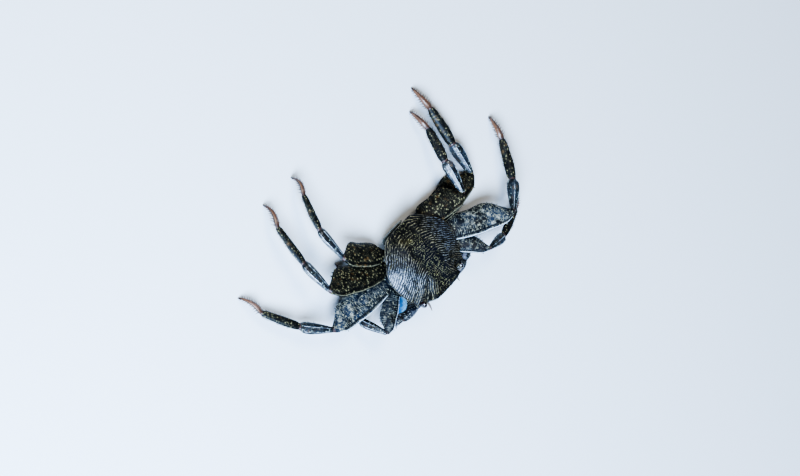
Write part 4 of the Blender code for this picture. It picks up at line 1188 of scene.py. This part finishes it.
# Eyes, on short stalks that lie in the notches of the shell's front
eyeForm = {
    "root": (0.270, 0.806, -0.004), "end": (0.352, 0.818, 0.010),
    "stalk": [(0.0, 0.026), (0.25, 0.033), (0.52, 0.036)],
    "eye": [(0.50, 0.037), (0.60, 0.0405), (0.70, 0.0420), (0.86, 0.037), (0.95, 0.0255), (1.0, 0.009)],
    "rippleHeight": 0.00006,
}


def turned(start, end, profile, rows, columns, side):  # a round body along a line
    across, over = crossOf(unit(end - start), side)
    shares = np.linspace(profile[0][0], profile[-1][0], rows)[:, None]
    radius = smoothRows(profile, shares[:, 0]) * width
    _, c, s = circle(columns)
    turn = across * c[:, None] + over * s[:, None]
    return (start + (end - start) * shares)[:, None] + turn * radius[..., None], shares


def between(side, root, tip):
    return (place(side * left, ahead, up) for left, ahead, up in (root, tip))


def makeEye(side):
    form, name = eyeForm, sideNames[side]
    start, end = between(side, form["root"], form["end"])
    rings, shares = turned(start, end, form["stalk"], 50, 48, side)
    ripple = noise(rings, 0.0009, 40)[..., None] * form["rippleHeight"]
    rings = rings + unit(rings - rings.mean(axis=1)[:, None]) * ripple
    stalk = Sculpture(rings, marksFor(rings, bump(shares - 0.50, 0.02)))
    stalk.make(f"eyestalk{name.capitalize()}", stalkShade, "eyestalk", f"eyestalk_{name}")
    rings, shares = turned(start, end, form["eye"], 60, 64, side)
    eye = Sculpture(rings, marksFor(rings, 0, bump(shares - 0.50, 0.03)))
    eye.make(f"eye{name.capitalize()}", eyeShade, "eye", f"eye_{name}")


# Feelers: a long outer one beside each eye, and a small folded inner one
feelerForm = {  # root, tip and thickness at both
    "antenna": ((0.222, 0.776, -0.094), (0.245, 0.965, -0.070), 0.030, 0.0030),
    "antennule": ((0.085, 0.794, -0.098), (0.105, 0.905, -0.105), 0.026, 0.0036),
    "profile": (  # share of the length, share of the thickness
        (0.0, 1.0), (0.12, 1.06), (0.20, 0.90), (0.23, 0.72),
        (0.32, 0.60), (0.36, 0.44), (0.60, 0.36), (1.0, 0.12)
    ),
    "arch": 0.10, "rings": 26, "ringSwell": 0.16, "whipFrom": (0.36, 0.42),
}


def makeFeeler(side, kind):
    form, name = feelerForm, sideNames[side]
    root, tip, thick, thin = form[kind]
    start, end = between(side, root, tip)
    profile = [(share, max(thick * size, thin)) for share, size in form["profile"]]
    rings, shares = turned(start, end, profile, 200, 24, side)
    whip, beads = ease(*form["whipFrom"], shares), wave(shares * form["rings"])
    middle = rings.mean(axis=1)[:, None]
    rings = middle + (rings - middle) * (1 + form["ringSwell"] * beads * whip)[..., None]
    over = crossOf(unit(end - start), side)[1]
    rings = rings + over * (form["arch"] * shares * (1 - shares) * width)[..., None]
    feeler = Sculpture(rings, marksFor(rings, (1 - beads) * whip + (1 - whip) * 0.4))
    feeler.make(f"{kind}{name.capitalize()}", feelerShade, "feeler", f"{kind}_{name}")


# Mouth plates that close the front of the body below the shell
mouthForm = {
    "rows": [  # ahead, up, left, half width, half thickness
        (0.655, -0.232, 0.075, 0.030, 0.012), (0.700, -0.218, 0.082, 0.046, 0.015),
        (0.745, -0.198, 0.080, 0.042, 0.015), (0.785, -0.172, 0.074, 0.046, 0.016),
        (0.812, -0.140, 0.066, 0.034, 0.014), (0.818, -0.118, 0.060, 0.016, 0.009),
    ],
    "mesh": (90, 56), "seams": (0.50, 0.80), "grooveDepth": 0.00022, "seamDepth": 0.00016,
    "grainHeight": (0.00010, 0.00006),
    "bristles": (28, 0.0011, 0.00005),  # column, length, radius
}


def makeMouthpart(side, bristles):
    form, name = mouthForm, sideNames[side]
    rows, columns = form["mesh"]
    shares = np.linspace(0, 1, rows)
    ahead, up, left, wide, thick = evenRows(form["rows"], shares).T
    closing = rounded(np.minimum(shares, 1 - shares), 0.08, 0.03)
    across, over = unit(np.array((side, 0.25, 0.0))), unit(np.array((0, -0.6, -0.8)))
    _, c, s = circle(columns)
    rings = place(side * left, ahead, up)[:, None]
    rings = rings + across * (c * (wide * closing)[:, None] * width)[..., None]
    window = ease(0.05, 0.2, shares) * ease(0.9, 0.7, shares)
    groove = bump(c - 0.15, 0.10) * ease(0.1, 0.5, s) * window[:, None]
    seam = sum(bump(shares - spot, 0.012) for spot in form["seams"])[:, None]
    lift = s * (thick * closing)[:, None] * width - groove * form["grooveDepth"]
    lift = lift - seam * form["seamDepth"] * s
    pimple, swell = form["grainHeight"]
    grain = grains(rings, 0.0007, 71, 1.5) * pimple + noise(rings, 0.0016, 72) * swell
    rings = rings + over * (lift + grain * ease(0.0, 0.4, s))[..., None]
    plate = Sculpture(rings, marksFor(rings, np.clip(groove * 0.8 + seam, 0, 1), ease(0.20, 0.9, c) * 0.9))
    plate.make(f"mouthpart{name.capitalize()}", underShade, "underside", f"mouthpart_{name}")
    column, length, radius = form["bristles"]
    inner = rings[8:-8, column]
    chance = np.random.default_rng(70 + side)
    tips = inner + np.array((-side, -0.2, -0.3)) * length + chance.normal(0, 0.0002, inner.shape)
    bristles.spikes(inner, tips, radius, 3, steps=3)


# Body under the shell: side walls, plates between the legs and the short first joints
bodyForm = {
    "outline": [
        (0.0, 0.035, 0), (0.19, 0.045, 0), (0.275, 0.13, 0), (0.335, 0.27, 0), (0.35, 0.42, 0),
        (0.33, 0.56, 0), (0.28, 0.67, 0), (0.20, 0.745, 0), (0.0, 0.775, 0),
    ],
    "step": 0.008,
    "levels": [  # depth below the rim, share of width, share of length
        (0.052, 0.86, 1.0), (0.090, 0.80, 0.99), (0.114, 0.76, 0.97),
        (0.168, 0.75, 0.93), (0.206, 0.68, 0.78), (0.222, 0.45, 0.55),
    ],
    "rings": (60, 40),  # down the walls, and in over the floor of the body
    "middle": 0.42, "grooves": (0.165, 0.275, 0.395, 0.520, 0.635), "grooveDepth": 0.0006,
    "grainHeight": 0.00004,
    "joint": [(0, 0.80), (0.45, 1.12), (0.72, 1.16), (0.86, 0.98), (1, 1.06)],  # swelling along a first joint
    "jointLength": 0.15, "jointMesh": (34, 48),
}


def firstJoint(side, joints, wide, thick):  # the short swollen joint that carries a limb
    form = bodyForm
    along = unit(joints[1] - joints[0])
    across, over = crossOf(along, side, crab["rootTilt"])
    t = np.linspace(0, 1, form["jointMesh"][0])[:, None]
    swell = smoothRows(form["joint"], t[:, 0]) * rounded(1 - t, 0.05, 0.5)
    _, c, s = circle(form["jointMesh"][1])
    middle = joints[0] - along * (form["jointLength"] * (1 - t) * width + crab["gap"] / 2)
    turn = across * (c * wide / 2)[:, None] + over * (s * thick / 2)[:, None]
    tube = middle[:, None] + turn * (swell * width)[..., None]
    return tube, marksFor(tube, bump(t - 0.86, 0.03) * 0.7, ease(-0.1, 0.5, s) * ease(0.3, 0.6, t))


def makeThorax():
    form = bodyForm
    outline, middle = outlinePoints(form["outline"], form["step"]), form["middle"]
    down, inward = form["rings"]
    levels = [row[0] for row in form["levels"]]
    depths = np.linspace(levels[0], levels[-1], down)
    shares = smoothRows(form["levels"], depths)
    sizes = [(wide, long, depth) for depth, (wide, long) in zip(depths, shares)]
    wide, long = shares[-1]
    sizes += [(wide * t, long * t, levels[-1] + 0.004 * (1 - t)) for t in np.linspace(0.97, 0.04, inward)]
    x, ahead = outline[:, 0], outline[:, 1] - middle
    rings = np.array([place(x * wide, middle + ahead * long, -depth) for wide, long, depth in sizes])
    left, ahead = (rings[..., 0] - origin[0]) / width, (origin[1] - rings[..., 1]) / width
    below, side = ease(-0.10, -0.17, (rings[..., 2] - origin[2]) / width), np.abs(left)
    groove = np.max([
        bump(ahead - spot - (middle - spot) * 0.35 * (1 - side / 0.3), 0.011) for spot in form["grooves"]
    ], axis=0)
    along = bump(side - 0.112, 0.007) * ease(0.1, 0.16, ahead)
    groove = np.maximum(groove * ease(0.05, 0.10, side), along) * below
    rings[..., 2] += groove * form["grooveDepth"]
    rings[..., 2] -= noise(rings, 0.0011, 60) * form["grainHeight"]
    flank = (1 - below) * ease(-0.2, 0.3, noise(rings, 0.004, 61) + 0.2)
    thorax = Sculpture(rings, marksFor(rings, groove * 0.8, flank))
    for side in sideNames:
        for pair, size in legSizes.items():
            wide, thick = (value * size["breadth"] for value in legSections["arm"][0][1:3])
            thorax.skin(*firstJoint(side, legJoints(side, pair), wide, thick))
        thorax.skin(*firstJoint(side, clawJoints(side), *clawForm["arm"][0][1:3]))
    thorax.make("bodyPlates", underShade, "underside", "thorax")


# The tail, folded round the rear and flat under the body
tailForm = {
    "rows": [  # ahead, up, half width, half thickness
        (0.014, -0.092, 0.120, 0.011), (0.018, -0.130, 0.150, 0.013), (0.038, -0.176, 0.160, 0.014),
        (0.096, -0.222, 0.155, 0.013), (0.190, -0.2430, 0.130, 0.012), (0.280, -0.2420, 0.100, 0.012),
        (0.380, -0.2420, 0.074, 0.012), (0.480, -0.2420, 0.050, 0.012), (0.540, -0.2410, 0.022, 0.011),
    ],
    "mesh": (170, 72), "seams": (0.14, 0.27, 0.40, 0.53, 0.66, 0.83),
    "seamPinch": (0.35, 0.06),  # how much thinner and narrower it is at a seam
    "grainHeight": (0.00009, 0.00006),
}


def makeTail():
    form = tailForm
    rows, columns = form["mesh"]
    shares = np.linspace(0, 1, rows)
    ahead, up, wide, thick = evenRows(form["rows"], shares).T
    middle = place(0.0, ahead, up)
    across = np.array((1.0, 0, 0))
    over = np.cross(unit(np.gradient(middle, axis=0)), across)
    closing = rounded(np.minimum(shares, 1 - shares), 0.03, 0.05)
    _, c, s = circle(columns)
    seam = np.max([bump(shares - spot, 0.006) for spot in form["seams"]], axis=0)
    thinner, narrower = form["seamPinch"]
    lift = lensed(s) * (thick * closing * (1 - thinner * seam))[:, None] * width
    wide = wide * closing * (1 - narrower * seam)
    rings = middle[:, None] + across * (c * wide[:, None] * width)[..., None]
    pimple, swell = form["grainHeight"]
    grain = grains(rings, 0.0008, 81) * pimple + noise(rings, 0.0022, 82) * swell
    rings = rings + over[:, None] * (lift - grain * ease(-0.1, -0.5, s))[..., None]
    marks = marksFor(rings, seam[:, None] * 0.9, ease(0.2, 0.0, shares)[:, None] * 0.8)
    Sculpture(rings, marks).make("tailPlates", underShade, "underside", "abdomen")


jointSkins, bristles = Sculpture(), Sculpture()
for side in sideNames:
    for pair in legSizes:
        makeLeg(side, pair, jointSkins, bristles)
    makeClaw(side, jointSkins)
    makeEye(side)
    makeFeeler(side, "antenna")
    makeFeeler(side, "antennule")
    makeMouthpart(side, bristles)
print("limbs, eyes, feelers and mouth made")
makeThorax()
makeTail()
jointSkins.make("jointSkins", skinShade, "underside")
bristles.make("bristles", bristleShade, "limb")
print("body made")

# Floor, light and camera
stageForm = {"size": 4.0, "colour": (0.62, 0.62, 0.60), "rough": 0.7}
view = {
    "azimuth": 234.34, "elevation": 55.52, "roll": 84.12, "distance": 2.6, "photo": (800, 476),
    "shellPixels": 94, "rearPixel": (399, 227), "sensor": 36,
}
lights = {  # direction by azimuth and elevation, distance, size, watts, colour
    "key": (-80, 48, 1.1, 0.70, 56, (0.50, 0.69, 1.0)), "sky": (150, 62, 1.3, 0.6, 7, (1.0, 0.97, 0.92)),
}
worldLight = {"colour": (0.90, 0.94, 1.0), "strength": 0.10}


def makeFloor():
    half = stageForm["size"] / 2
    corners = [(x * half, y * half, 0) for x, y in ((-1, -1), (1, -1), (1, 1), (-1, 1))]
    mesh = bpy.data.meshes.new("floor")
    mesh.from_pydata(corners, [], [(0, 1, 2, 3)])
    mesh.materials.append(Paint("floorFinish", {}).finish(stageForm["colour"], stageForm["rough"]))
    floor = bpy.data.objects.new("floor", mesh)
    bpy.context.scene.collection.objects.link(floor)


def wayOf(azimuth, elevation):
    a, e = radians(azimuth), radians(elevation)
    return Vector((sin(a) * cos(e), -cos(a) * cos(e), sin(e)))


def makeCamera():
    back = wayOf(view["azimuth"], view["elevation"])
    up = wayOf(view["azimuth"] + 180, 90 - view["elevation"])
    up.rotate(Matrix.Rotation(radians(view["roll"]), 3, back))
    right = up.cross(back)
    perPixel = width / view["shellPixels"]
    across, down = (whole / 2 - spot for whole, spot in zip(view["photo"], view["rearPixel"]))
    target = Vector(place(0, 0, 0)) + (right * across - up * down) * perPixel
    camera = bpy.data.objects.new("camera", bpy.data.cameras.new("camera"))
    camera.data.sensor_width = view["sensor"]
    camera.data.lens = view["sensor"] * view["distance"] / (view["photo"][0] * perPixel)
    turn = Matrix((right, up, back)).transposed().to_4x4()
    camera.matrix_world = Matrix.Translation(target + back * view["distance"]) @ turn
    bpy.context.scene.collection.objects.link(camera)
    bpy.context.scene.camera = camera


def makeLights():
    for name, (turn, height, distance, size, watts, colour) in lights.items():
        light = bpy.data.lights.new(name, "AREA")
        light.shape, light.size, light.energy, light.color = "DISK", size, watts, colour
        lamp = bpy.data.objects.new(name, light)
        way = wayOf(turn, height)
        lamp.location = way * distance
        lamp.rotation_euler = way.to_track_quat("Z", "Y").to_euler()
        bpy.context.scene.collection.objects.link(lamp)
    world = bpy.data.worlds.new("softRoom")
    world.use_nodes = True
    back = world.node_tree.nodes["Background"]
    back.inputs[0].default_value = (*worldLight["colour"], 1)
    back.inputs[1].default_value = worldLight["strength"]
    bpy.context.scene.world = world
    bpy.context.scene.view_settings.look = "AgX - High Contrast"


makeFloor()
makeLights()
makeCamera()
bpy.context.view_layer.update()
print("stage, lights and camera made")
